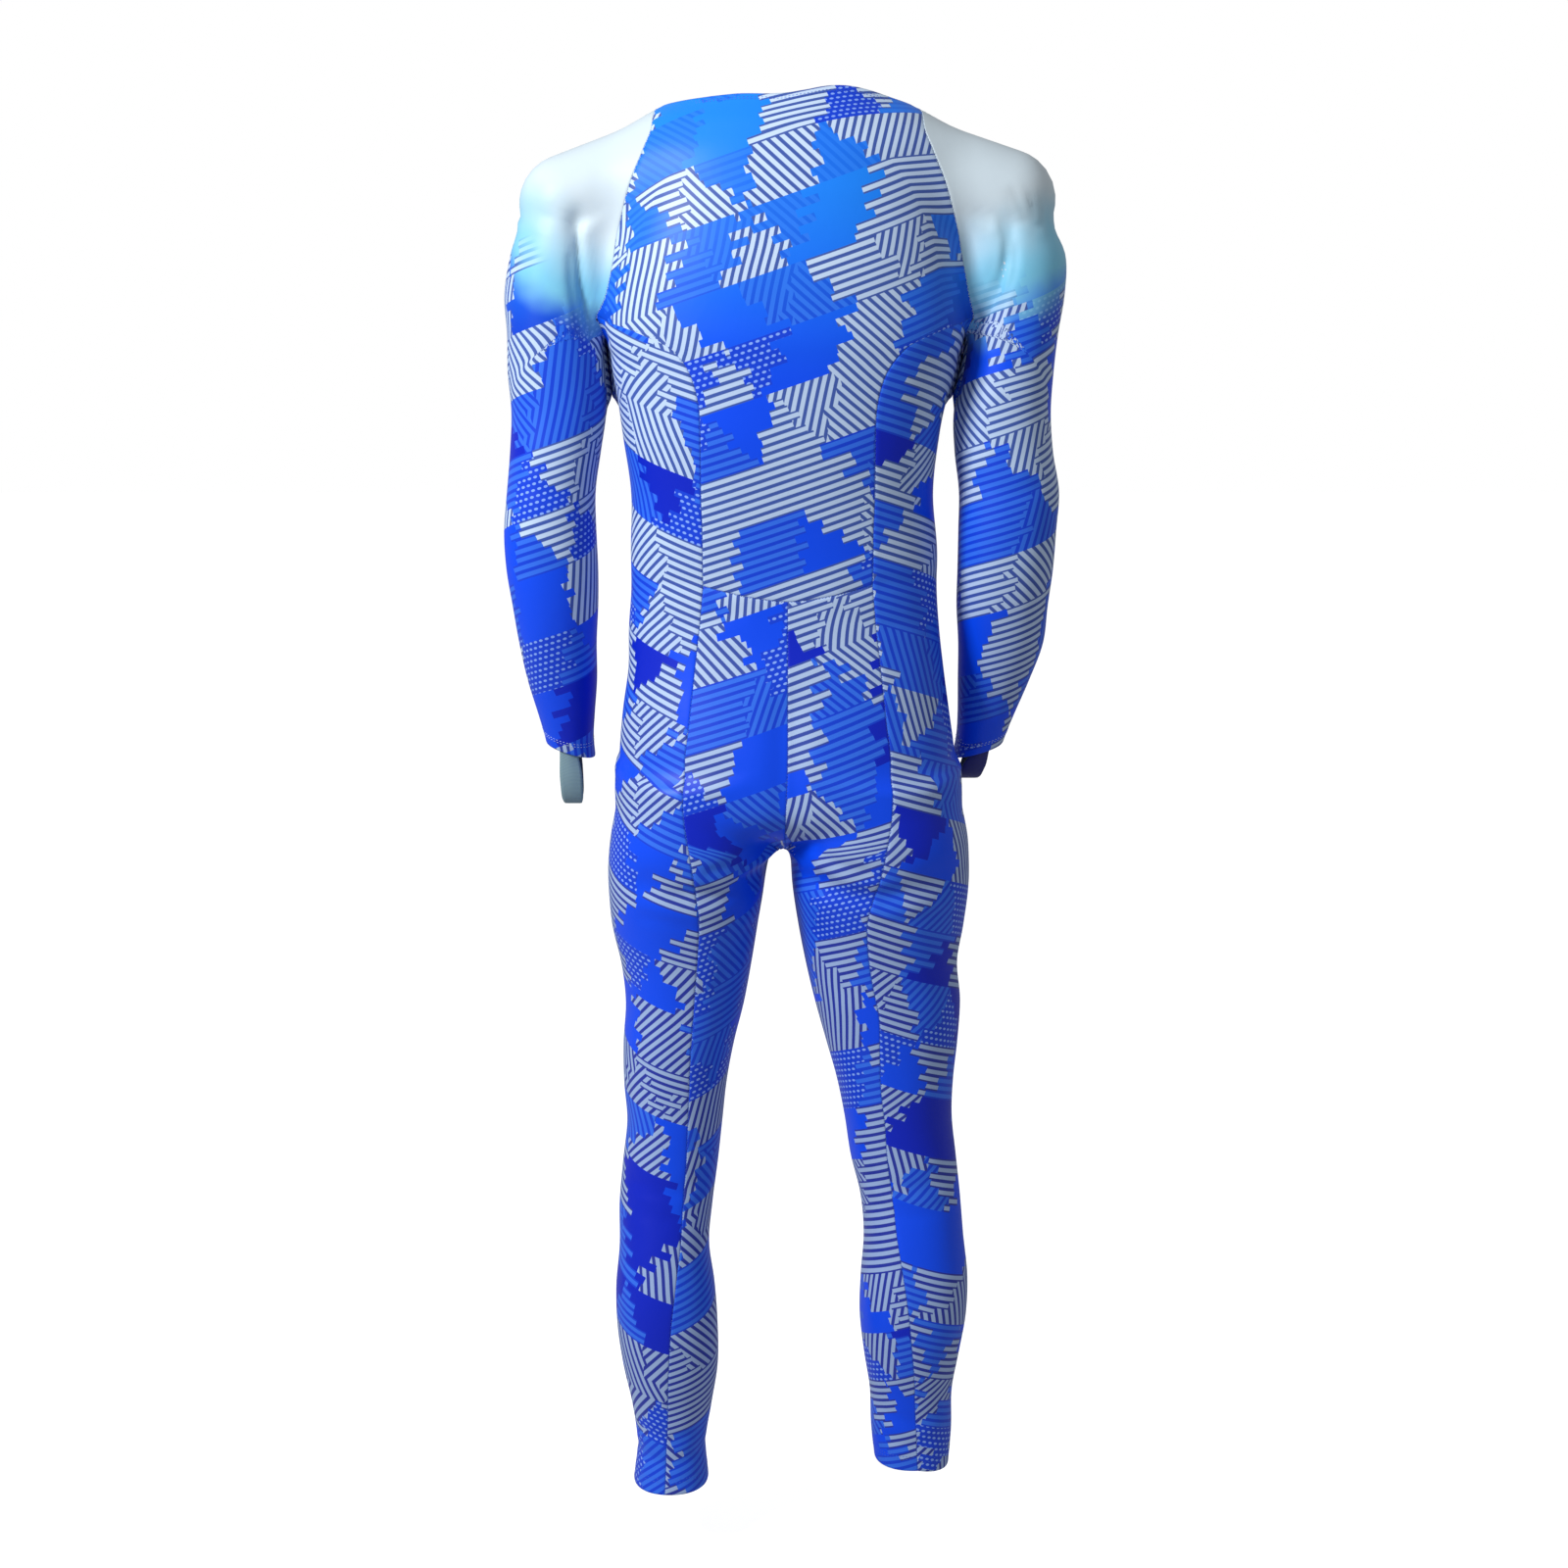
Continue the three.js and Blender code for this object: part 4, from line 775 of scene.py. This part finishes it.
def raised(tree, shader, height, strength, distance):
    bump = tree.nodes.new("ShaderNodeBump")
    bump.inputs["Strength"].default_value = strength
    bump.inputs["Distance"].default_value = distance
    tree.links.new(height, bump.inputs["Height"])
    tree.links.new(bump.outputs[0], shader.inputs["Normal"])


# The pattern, in metres: patches on a grid of triangles, stripes, dots and the colours.
# A patch is of a kind from its "From" share up, and a span is where a change begins and ends.
racePrint = {"facet": 0.070, "pitch": 0.0081, "slant": math.radians(19), "steep": math.radians(60),
             "shear": 0.5774, "shearRise": 1.1547, "bar": 0.55, "barSoft": 0.04, "stagger": 3.0,
             "wholeShare": 0.30, "steepFrom": 0.52, "fallingFrom": 0.76, "darkFrom": 0.66,
             "tonalFrom": 0.45, "plainFrom": 0.70, "dotsFrom": 0.90,
             "legShadeSpan": (-0.90, -0.25), "topSpan": (-0.24, 0.0), "topShare": 0.6,
             "washSize": 3.0, "washSpan": (0.42, 0.62), "washShare": 0.35,
             "dotPitch": 0.0062, "dotApart": 1.15, "dotSquash": (0.8, 1.6), "dotSpan": (0.22, 0.32),
             # The low colours of the bars and gaps are painted shade: the print darkens towards the legs,
             # where light falls off.
             "bars": (0.54, 0.68, 0.88), "barsShadedLow": (0.31, 0.43, 0.70),
             "gaps": (0.050, 0.10, 0.38), "gapsShadedLow": (0.02, 0.035, 0.34),
             "tonePale": (0.030, 0.15, 0.80), "toneDark": (0.005, 0.050, 0.64),
             "plain": (0.001, 0.066, 0.84), "plainTop": (0.008, 0.22, 0.90),
             "plainDark": (0.001, 0.016, 0.52), "dots": (0.22, 0.38, 0.90),
             "pale": (0.58, 0.68, 0.75), "cyan": (0.19, 0.54, 0.76)}
shoulderFade = {"from": 0.18, "slope": 0.55, "cloudSize": 9.0, "cloud": 0.10, "ragged": 0.05,
                "cyanSpan": (-0.185, -0.135), "paleSpan": (-0.150, -0.055)}
knit = {"rough": 0.44, "sheen": 0.015, "specular": 0.22, "wale": 0.0011, "course": 0.0009,
        "loops": 0.06, "unevenSize": 24.0, "strength": 0.35, "depth": 0.0014,
        "mottleFrom": 0.94, "mottleSize": 5.0, "mottle": 0.11}


def printedKnit(name, seed, faded):
    mat, tree, shader = newMaterial(name, knit["rough"], sheen=knit["sheen"], specular=knit["specular"])
    s = Sums(tree)
    flatX, flatY = cutPlace(tree)
    place = tree.nodes.new("ShaderNodeTexCoord").outputs["Object"]
    spot = tree.nodes.new("ShaderNodeSeparateXYZ")
    tree.links.new(place, spot.inputs[0])
    height = spot.outputs[2]
    u = s.add(flatX, seed * 0.731)
    v = s.add(flatY, seed * 0.417)
    # slanted axes, then stripe rows whose ends are staggered
    c, w = math.cos(racePrint["slant"]), math.sin(racePrint["slant"])
    x = s.add(s.mul(u, c), s.mul(v, w))
    y = s.sub(s.mul(v, c), s.mul(u, w))
    pitch, facet = racePrint["pitch"], racePrint["facet"]
    row = s.math("FLOOR", s.math("DIVIDE", y, pitch))
    stepY = s.mul(s.add(row, 0.5), pitch)
    stagger = s.mul(s.sub(s.chance(row, seed + 3.5, 0.0), 0.5), pitch * racePrint["stagger"])
    a = s.math("DIVIDE", s.sub(s.add(x, stagger), s.mul(stepY, racePrint["shear"])), facet)
    b = s.math("DIVIDE", s.mul(stepY, racePrint["shearRise"]), facet)
    ia, ib = s.math("FLOOR", a), s.math("FLOOR", b)
    far = s.over(s.add(s.math("FRACT", a), s.math("FRACT", b)), 1.0)
    whole = s.math("LESS_THAN", s.chance(ia, ib, seed + 11.5), racePrint["wholeShare"])
    part = s.mul(far, s.sub(1.0, whole))
    kind = s.chance(ia, ib, s.add(part, seed + 0.25))
    lean = s.chance(ia, ib, s.add(part, seed + 5.25))
    deep = s.chance(ia, ib, s.add(part, seed + 9.25))

    def stripeRow(angle):
        return s.math("DIVIDE", s.add(s.mul(x, -math.sin(angle)), s.mul(y, math.cos(angle))), pitch)

    level, rising, falling = (stripeRow(turned * racePrint["steep"]) for turned in (0, 1, -1))
    isSteep, isFalling = s.over(lean, racePrint["steepFrom"]), s.over(lean, racePrint["fallingFrom"])
    steep = s.add(s.mul(rising, s.sub(1.0, isFalling)), s.mul(falling, isFalling))
    phase = s.add(s.mul(level, s.sub(1.0, isSteep)), s.mul(steep, isSteep))
    wave = s.math("ABSOLUTE", s.sub(s.math("FRACT", phase), 0.5))
    half, soft = racePrint["bar"] / 2, racePrint["barSoft"]
    bar = s.sub(1.0, s.step(wave, half - soft, half + soft))
    # the four kinds of patch: striped, tone on tone, plain and dotted
    # bars and gaps darken from the waist down to the legs as painted shade; the wash also pulls bars
    # towards the shaded bar colour at random places
    upper = s.step(height, *racePrint["legShadeSpan"])
    wash = s.step(s.noise(place, racePrint["washSize"]), *racePrint["washSpan"])
    bars = s.blend(upper, racePrint["barsShadedLow"], racePrint["bars"])
    bars = s.blend(s.mul(wash, racePrint["washShare"]), bars, racePrint["barsShadedLow"])
    striped = s.blend(bar, s.blend(upper, racePrint["gapsShadedLow"], racePrint["gaps"]), bars)
    tonal = s.blend(bar, racePrint["toneDark"], racePrint["tonePale"])
    plain = s.blend(s.over(deep, racePrint["darkFrom"]), racePrint["plain"], racePrint["plainDark"])
    top = s.step(height, *racePrint["topSpan"])
    plain = s.blend(top, plain, racePrint["plainTop"])
    tonal = s.blend(s.mul(top, racePrint["topShare"]), tonal, racePrint["plainTop"])
    dotRow = s.math("DIVIDE", y, racePrint["dotPitch"])
    shift = s.mul(s.math("FLOORED_MODULO", s.math("FLOOR", dotRow), 2.0), 0.5)
    dotColumn = s.add(s.math("DIVIDE", x, racePrint["dotPitch"] * racePrint["dotApart"]), shift)
    dx = s.sub(s.math("FRACT", dotColumn), 0.5)
    dy = s.sub(s.math("FRACT", dotRow), 0.5)
    flatter, taller = racePrint["dotSquash"]
    reach = s.math("SQRT", s.add(s.mul(s.mul(dx, dx), flatter), s.mul(s.mul(dy, dy), taller)))
    dotted = s.blend(s.step(reach, *racePrint["dotSpan"]), racePrint["dots"], racePrint["toneDark"])
    colour = s.blend(s.over(kind, racePrint["tonalFrom"]), striped, tonal)
    colour = s.blend(s.over(kind, racePrint["plainFrom"]), colour, plain)
    colour = s.blend(s.over(kind, racePrint["dotsFrom"]), colour, dotted)
    if faded:  # near white on the shoulder, through pale cyan, to the print
        side = s.math("ABSOLUTE", spot.outputs[0])
        slope = s.sub(height, s.mul(s.sub(side, shoulderFade["from"]), shoulderFade["slope"]))
        cloud = s.sub(s.noise(place, shoulderFade["cloudSize"], 3.0), 0.5)
        slope = s.add(slope, s.mul(cloud, shoulderFade["cloud"]))
        ragged = s.add(slope, s.mul(s.sub(kind, 0.5), shoulderFade["ragged"]))
        colour = s.blend(s.step(ragged, *shoulderFade["cyanSpan"]), colour, racePrint["cyan"])
        colour = s.blend(s.step(slope, *shoulderFade["paleSpan"]), colour, racePrint["pale"])
    mottle = s.add(knit["mottleFrom"], s.mul(s.noise(place, knit["mottleSize"]), knit["mottle"]))
    tint = tree.nodes.new("ShaderNodeHueSaturation")
    tree.links.new(colour, tint.inputs["Color"])
    tree.links.new(mottle, tint.inputs["Value"])
    tree.links.new(tint.outputs[0], shader.inputs["Base Color"])
    wale = s.math("ABSOLUTE", s.sub(s.math("FRACT", s.math("DIVIDE", u, knit["wale"])), 0.5))
    course = s.math("ABSOLUTE", s.sub(s.math("FRACT", s.math("DIVIDE", v, knit["course"])), 0.5))
    relief = s.add(s.mul(s.add(wale, course), knit["loops"]), s.noise(place, knit["unevenSize"], 3.0))
    raised(tree, shader, relief, knit["strength"], knit["depth"])
    return mat


grainLook = {"detail": 4.0, "span": (0.35, 0.65), "strength": 0.4, "depth": 0.0005}
ribLook = {"rough": 0.62, "sheen": 0.15, "pitch": 0.0016, "span": (0.1, 0.4),
           "strength": 0.5, "depth": 0.0004}


def grainMaterial(name, colour, shade, rough, scale, metal=0.0, sheen=0.0):
    mat, tree, shader = newMaterial(name, rough, metal, sheen)
    s = Sums(tree)
    place = tree.nodes.new("ShaderNodeTexCoord").outputs["Object"]
    grain = s.noise(place, scale, grainLook["detail"])
    tree.links.new(s.blend(s.step(grain, *grainLook["span"]), shade, colour), shader.inputs["Base Color"])
    raised(tree, shader, grain, grainLook["strength"], grainLook["depth"])
    return mat


def ribbedElastic(name, colour, shade):
    mat, tree, shader = newMaterial(name, ribLook["rough"], sheen=ribLook["sheen"])
    s = Sums(tree)
    along = cutPlace(tree)[1]
    rib = s.math("ABSOLUTE", s.sub(s.math("FRACT", s.math("DIVIDE", along, ribLook["pitch"])), 0.5))
    tree.links.new(s.blend(s.step(rib, *ribLook["span"]), shade, colour), shader.inputs["Base Color"])
    raised(tree, shader, rib, ribLook["strength"], ribLook["depth"])
    return mat


knitBacking = grainMaterial("knit_backing", (0.70, 0.74, 0.80), (0.62, 0.67, 0.75), 0.75, 900, sheen=0.2)
loopElastic = ribbedElastic("loop_elastic", (0.21, 0.32, 0.36), (0.14, 0.24, 0.29))
loopNavy = ribbedElastic("loop_navy", (0.010, 0.014, 0.19), (0.007, 0.010, 0.13))
# The thumb loops' inner face is near-black navy: painted shade for the shadowed inner edge of the loop.
loopInsideShade = grainMaterial("loop_inside_shade", (0.03, 0.05, 0.10), (0.02, 0.03, 0.07), 0.8, 700)
tapeCloth = grainMaterial("zip_tape", (0.012, 0.03, 0.12), (0.006, 0.018, 0.08), 0.75, 1200, sheen=0.1)
toothPlastic = grainMaterial("zip_teeth", (0.02, 0.04, 0.13), (0.012, 0.03, 0.10), 0.3, 300)
sliderMetal = grainMaterial("zip_metal", (0.46, 0.48, 0.52), (0.36, 0.38, 0.42), 0.3, 400, metal=1.0)
blueThread = grainMaterial("blue_thread", (0.06, 0.16, 0.70), (0.04, 0.10, 0.52), 0.55, 1500)
paleThread = grainMaterial("pale_thread", (0.62, 0.72, 0.82), (0.50, 0.62, 0.74), 0.55, 1500)


def dress(piece, grid, outside, backing):  # one look outside and on the rim, one within
    piece.data.materials.append(outside)
    piece.data.materials.append(backing)
    count = (grid.shape[0] - 1) * (grid.shape[1] - 1)
    faceLooks = np.zeros(len(piece.data.polygons), int)
    faceLooks[count:2 * count] = 1
    piece.data.polygons.foreach_set("material_index", faceLooks)


fine, fineNormals, panels = {}, {}, {}
for seed, (node, (slot, _)) in enumerate(panelCuts.items(), 1):
    kind = node if node == "back_upper" else node.rsplit("_", 1)[0]
    fine[node], fineNormals[node] = finePanel(grids[node])
    piece = clothShell(f"cloth_{node}", fine[node], fineNormals[node], cloth["thick"], cloth["groove"],
                       sewnEdges[kind], printMap)
    look = printedKnit(f"knit_{node}", seed, slot == "sleeve_cloth")
    dress(piece, fine[node], look, knitBacking)
    if kind in ("side", "front"):
        name = node.rsplit("_", 1)[1]
        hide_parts(f"{kind}_body_{name}", f"{kind}_leg_{name}")
    else:
        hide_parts(node)
    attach(piece, "suit")
    panels[node] = piece
print("stage: cloth panels made", flush=True)

thumbLoop = {"width": 24.0, "thick": 1.6, "groove": 0.2, "under": 2.4, "sewnUp": 0.42, "leaves": 0.04,
             "drop": {1: 62.0, -1: 34.0}, "swing": {1: 3.0, -1: 12.0}, "round": 0.8, "closer": 0.98,
             "narrow": 0.3, "narrowBend": 10, "upright": 0.9, "curl": 2.2, "curlBend": 3,
             "bends": 10, "finerLong": 4, "finerWide": 4}
cuffMiddle = halfColumns // 2


def insideCuff(half, share):  # a row of the loop on the cuff's inner side, and the way it faces
    around = slice(cuffMiddle - 1, cuffMiddle + 2)
    line = mix(half[-1, around], half[-2, around], share)
    n = outward(line)
    return line - n * thumbLoop["under"], n


for side in (1, -1):
    name = "left" if side > 0 else "right"
    halves = [grids[f"sleeve_back_{name}"], grids[f"sleeve_front_{name}"]]
    rows = [insideCuff(halves[0], thumbLoop["sewnUp"]), insideCuff(halves[0], thumbLoop["leaves"])]
    foot = halves[1][-1, cuffMiddle]
    foot = foot - outward(foot) * thumbLoop["under"]
    start = rows[1][0][1]
    middle, reach = (start + foot) / 2, (start - foot) / 2
    w = np.array([-1.0, 0.0, 1.0])[:, None]
    for k in range(1, thumbLoop["bends"]):
        angle = math.pi * k / thumbLoop["bends"]
        share = math.sin(angle) ** thumbLoop["round"]
        hang = np.array([-side * thumbLoop["swing"][side] * share, 0, -thumbLoop["drop"][side] * share])
        centre = middle + reach * math.cos(angle) * thumbLoop["closer"] + hang
        waist = thumbLoop["narrow"] * math.sin(angle) ** thumbLoop["narrowBend"]
        halfWide = thumbLoop["width"] / 2 * (1 - waist)
        facing = unit(np.array([0, math.cos(angle) * thumbLoop["upright"], -math.sin(angle)]))
        curl = abs(math.cos(angle)) ** thumbLoop["curlBend"] * thumbLoop["curl"]
        line = centre + w * np.array([side * halfWide, 0, 0]) - facing * (np.abs(w) * curl)
        rows.append((line, np.repeat(facing[None, :], 3, axis=0)))
    rows += [insideCuff(halves[1], thumbLoop["leaves"]), insideCuff(halves[1], thumbLoop["sewnUp"])]
    down, over = finer(len(rows) - 1, thumbLoop["finerLong"]), finer(2, thumbLoop["finerWide"])
    strap = refine(refine(np.array([r[0] for r in rows]), down, 0), over, 1)
    strapNormals = unit(refine(refine(np.array([r[1] for r in rows]), down, 0), over, 1))
    piece = clothShell(f"strap_thumb_{name}", strap, strapNormals, thumbLoop["thick"], thumbLoop["groove"])
    # the inner faces take the near-black navy of painted shade
    dress(piece, strap, loopElastic if side > 0 else loopNavy, loopInsideShade)  # the right loop is turned
    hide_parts(f"thumb_loop_{name}")
    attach(piece, "suit")
print("stage: thumb loops made", flush=True)


def repeatTree(name, shape):  # small pieces on points, sized by named inputs
    group = bpy.data.node_groups.new(name, "GeometryNodeTree")
    group.interface.new_socket("Geometry", in_out="INPUT", socket_type="NodeSocketGeometry")
    for size in ("Long", "Wide", "High"):
        group.interface.new_socket(size, in_out="INPUT", socket_type="NodeSocketFloat")
    group.interface.new_socket("Look", in_out="INPUT", socket_type="NodeSocketMaterial")
    group.interface.new_socket("Geometry", in_out="OUTPUT", socket_type="NodeSocketGeometry")
    made = {k: group.nodes.new(t) for k, t in (
        ("in", "NodeGroupInput"), ("out", "NodeGroupOutput"), ("points", "GeometryNodeMeshToPoints"),
        ("copies", "GeometryNodeInstanceOnPoints"), ("one", shape), ("size", "ShaderNodeCombineXYZ"),
        ("turn", "GeometryNodeInputNamedAttribute"), ("real", "GeometryNodeRealizeInstances"),
        ("look", "GeometryNodeSetMaterial"))}
    made["turn"].data_type = "FLOAT_VECTOR"
    made["turn"].inputs[0].default_value = "turn"
    if shape == "GeometryNodeMeshIcoSphere":
        made["one"].inputs["Radius"].default_value = 0.5
        made["one"].inputs["Subdivisions"].default_value = 1
    link = group.links.new
    for size, socket in zip(("Long", "Wide", "High"), made["size"].inputs):
        link(made["in"].outputs[size], socket)
    link(made["in"].outputs[0], made["points"].inputs[0])
    link(made["points"].outputs[0], made["copies"].inputs["Points"])
    link(made["one"].outputs[0], made["copies"].inputs["Instance"])
    link(made["turn"].outputs[0], made["copies"].inputs["Rotation"])
    link(made["size"].outputs[0], made["copies"].inputs["Scale"])
    link(made["copies"].outputs[0], made["real"].inputs[0])
    link(made["real"].outputs[0], made["look"].inputs[0])
    link(made["in"].outputs["Look"], made["look"].inputs["Material"])
    link(made["look"].outputs[0], made["out"].inputs[0])
    return group


def repeated(name, tree, places, ways, normals, sizes, look):
    mesh = bpy.data.meshes.new(name)
    mesh.from_pydata([tuple(p * mm) for p in places], [], [])
    ways = unit(ways)
    sides = unit(np.cross(normals, ways))
    tops = np.cross(ways, sides)
    angles = []
    for one, two, three in zip(ways, sides, tops):
        angles.extend(Matrix((one, two, three)).transposed().to_euler())
    mesh.attributes.new("turn", "FLOAT_VECTOR", "POINT").data.foreach_set("vector", angles)
    holder = bpy.data.objects.new(name, mesh)
    bpy.context.collection.objects.link(holder)
    modifier = holder.modifiers.new("repeat", "NODES")
    modifier.node_group = tree
    inputs = {i.name: i.identifier for i in tree.interface.items_tree if i.in_out == "INPUT"}
    for key, value in zip(("Long", "Wide", "High"), sizes):
        modifier[inputs[key]] = value
    modifier[inputs["Look"]] = look
    bpy.context.view_layer.update()
    made = bpy.data.meshes.new_from_object(holder.evaluated_get(bpy.context.evaluated_depsgraph_get()))
    holder.modifiers.clear()
    holder.data = made
    made.materials.clear()
    made.materials.append(look)
    made.polygons.foreach_set("material_index", np.zeros(len(made.polygons), int))
    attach(holder, "suit")
    return holder


def evenly(line, pitch):
    reach = np.linalg.norm(np.diff(line, axis=0), axis=1).sum()
    count = max(int(reach / pitch), 1)
    at = (np.arange(count) + 0.5) / count
    close = 0.2 / count
    ahead = alongLine(line, np.minimum(at + close, 1))
    behind = alongLine(line, np.maximum(at - close, 0))
    return alongLine(line, at), unit(ahead - behind)


def insetRow(grid, inset, last):  # a line beside an open edge
    oneIn = cloth["finer"] + 1
    edge, row = (grid[-1], grid[-1 - oneIn]) if last else (grid[0], grid[oneIn])
    share = inset / np.linalg.norm(row - edge, axis=1).mean()
    return mix(edge, row, share)[2:-2]


sewing = {"pitch": 3.2, "long": 0.0036, "wide": 0.0006, "high": 0.0005, "swing": 0.9,
          "sunk": 0.25, "clear": 3, "hemPitch": 3.8, "hemLong": 0.0026, "hemProud": 0.05,
          "hemRows": (14.0, 17.5), "neckRows": (5.0, 7.5)}
crotchRow = (crotchAt - waistAt) * cloth["finer"] + 1  # in the seat panels' fine rows
stitchTree = repeatTree("stitches", "GeometryNodeMeshIcoSphere")
for node, grid in fine.items():
    sleeve = node.startswith("sleeve")
    look = paleThread if sleeve else blueThread
    seamLines = []
    if node.startswith("side"):
        seamLines = [grid[sewing["clear"]:, 0], grid[sewing["clear"]:, -1]]
    elif node.startswith("seat_leg"):
        seamLines = [grid[crotchRow:, -1]]
        if node.endswith("left"):
            seamLines.append(grid[sewing["clear"]:crotchRow - 2, -1])
    elif node == "back_upper":
        seamLines = [grid[-1]]
    elif node.startswith("sleeve_back"):
        seamLines = [grid[:, 0], grid[:, -1]]
    elif node.startswith("sleeve_front"):
        seamLines = [grid[:suitCut["raglanSteps"] * cloth["finer"], 0]]
    straight = []
    if not node.startswith("back"):
        straight += [insetRow(grid, inset, True) for inset in sewing["hemRows"]]
    if node == "back_upper" or node.startswith("front"):
        straight += [insetRow(grid, inset, False) for inset in sewing["neckRows"]]
    crossed = []
    for line in seamLines:
        p, t = evenly(line, sewing["pitch"])
        n = outward(p)
        lean = np.where(np.arange(len(p)) % 2, 1, -1)[:, None] * sewing["swing"]
        crossed.append((p - n * sewing["sunk"], unit(t + np.cross(n, t) * lean), n))
    plainRows = []
    for line in straight:
        p, t = evenly(line, sewing["hemPitch"])
        n = outward(p)
        plainRows.append((p + n * sewing["hemProud"], t, n))
    for label, runs, long in (("seam", crossed, sewing["long"]), ("edge", plainRows, sewing["hemLong"])):
        if runs:
            p, t, n = (np.vstack([r[k] for r in runs]) for k in range(3))
            repeated(f"stitches_{label}_{node}", stitchTree, p, t, n,
                                 (long, sewing["wide"], sewing["high"]), look)
print("stage: sewing made", flush=True)

zipTape = {"thick": 0.9, "groove": 0.2, "finerLong": 5, "finerWide": 3}
zipTeeth = {"pitch": 2.0, "long": 0.0011, "wide": 0.0030, "high": 0.0016,
            "along": 0.5, "proud": 0.1, "out": 0.7}
toothTree = repeatTree("teeth", "GeometryNodeMeshCube")
for side in (1, -1):
    name = "left" if side > 0 else "right"
    coarse = tapeGrids[side]
    down, over = finer(len(coarse) - 1, zipTape["finerLong"]), finer(2, zipTape["finerWide"])
    tape = settle(refine(refine(coarse, down, 0), over, 1))
    piece = clothShell(f"tape_zip_{name}", tape, outward(tape), zipTape["thick"], zipTape["groove"],
                       (0, 0, 1, 0))
    piece.data.materials.append(tapeCloth)
    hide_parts(f"zip_tape_{name}")
    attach(piece, "suit")
    p, t = evenly(tape[:, -1], zipTeeth["pitch"])
    n = outward(p)
    across = unit(np.cross(n, t))
    p = p + t * (zipTeeth["along"] * side) + n * zipTeeth["proud"]
    p = p + across * np.sign(across[:, :1]) * side * zipTeeth["out"]
    teeth = repeated(f"teeth_zip_{name}", toothTree, p, t, n,
                     (zipTeeth["long"], zipTeeth["wide"], zipTeeth["high"]), toothPlastic)
print("stage: zip made", flush=True)

for node in ("zip_slider", "zip_pull"):
    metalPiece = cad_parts[node]
    if metalPiece.material_slots:
        for held in metalPiece.material_slots:
            held.material = sliderMetal
    else:
        metalPiece.data.materials.append(sliderMetal)

studio = {"eye": (0.004, 3.10, 0.06), "tilt": 77, "lens": 68.6, "room": 0.42,
          "key": {"place": (2.0, 1.8, 1.2), "aim": (0, 0, -0.2), "size": 0.7, "power": 96},
          "floorLevel": -1.52, "floorGlow": 0.82, "floorReach": 9}
camera = bpy.data.objects.new("camera", bpy.data.cameras.new("camera"))
bpy.context.collection.objects.link(camera)
camera.location = studio["eye"]
camera.rotation_euler = (math.radians(studio["tilt"]), 0, math.radians(180))
camera.data.sensor_width = 36
camera.data.lens = studio["lens"]
bpy.context.scene.camera = camera
bpy.context.scene.view_settings.view_transform = "Standard"

room = bpy.data.worlds.new("white_room")
bpy.context.scene.world = room
room.use_nodes = True
roomTree = room.node_tree
roomLight = roomTree.nodes["Background"]
roomLight.inputs[0].default_value = (1, 1, 1, 1)
roomLight.inputs[1].default_value = studio["room"]
roomWhite = roomTree.nodes.new("ShaderNodeBackground")
roomWhite.inputs[0].default_value = (1, 1, 1, 1)
roomPath = roomTree.nodes.new("ShaderNodeLightPath")
roomMix = roomTree.nodes.new("ShaderNodeMixShader")
roomTree.links.new(roomPath.outputs["Is Camera Ray"], roomMix.inputs[0])
roomTree.links.new(roomLight.outputs[0], roomMix.inputs[1])
roomTree.links.new(roomWhite.outputs[0], roomMix.inputs[2])
roomTree.links.new(roomMix.outputs[0], roomTree.nodes["World Output"].inputs[0])

keyData = bpy.data.lights.new("key", "AREA")
keyData.size = studio["key"]["size"]
keyData.energy = studio["key"]["power"]
key = bpy.data.objects.new("key", keyData)
key.location = studio["key"]["place"]
aim = Vector(studio["key"]["aim"]) - Vector(studio["key"]["place"])
key.rotation_euler = aim.to_track_quat("-Z", "Y").to_euler()
bpy.context.collection.objects.link(key)

far, z = studio["floorReach"], studio["floorLevel"]
floor = meshPiece("floor", [(-far, -far, z), (far, -far, z), (far, far, z), (-far, far, z)], [(0, 1, 2, 3)])
floorMat, floorTree, floorShader = newMaterial("pale_floor", 0.9)
floorShader.inputs["Base Color"].default_value = (0.5, 0.5, 0.5, 1)
floorShader.inputs["Emission Color"].default_value = (1, 1, 1, 1)
floorSums = Sums(floorTree)
floorSeen = floorTree.nodes.new("ShaderNodeLightPath").outputs["Is Camera Ray"]
floorTree.links.new(floorSums.mul(floorSeen, studio["floorGlow"]), floorShader.inputs["Emission Strength"])
floor.data.materials.append(floorMat)
print("stage: camera and light set", flush=True)
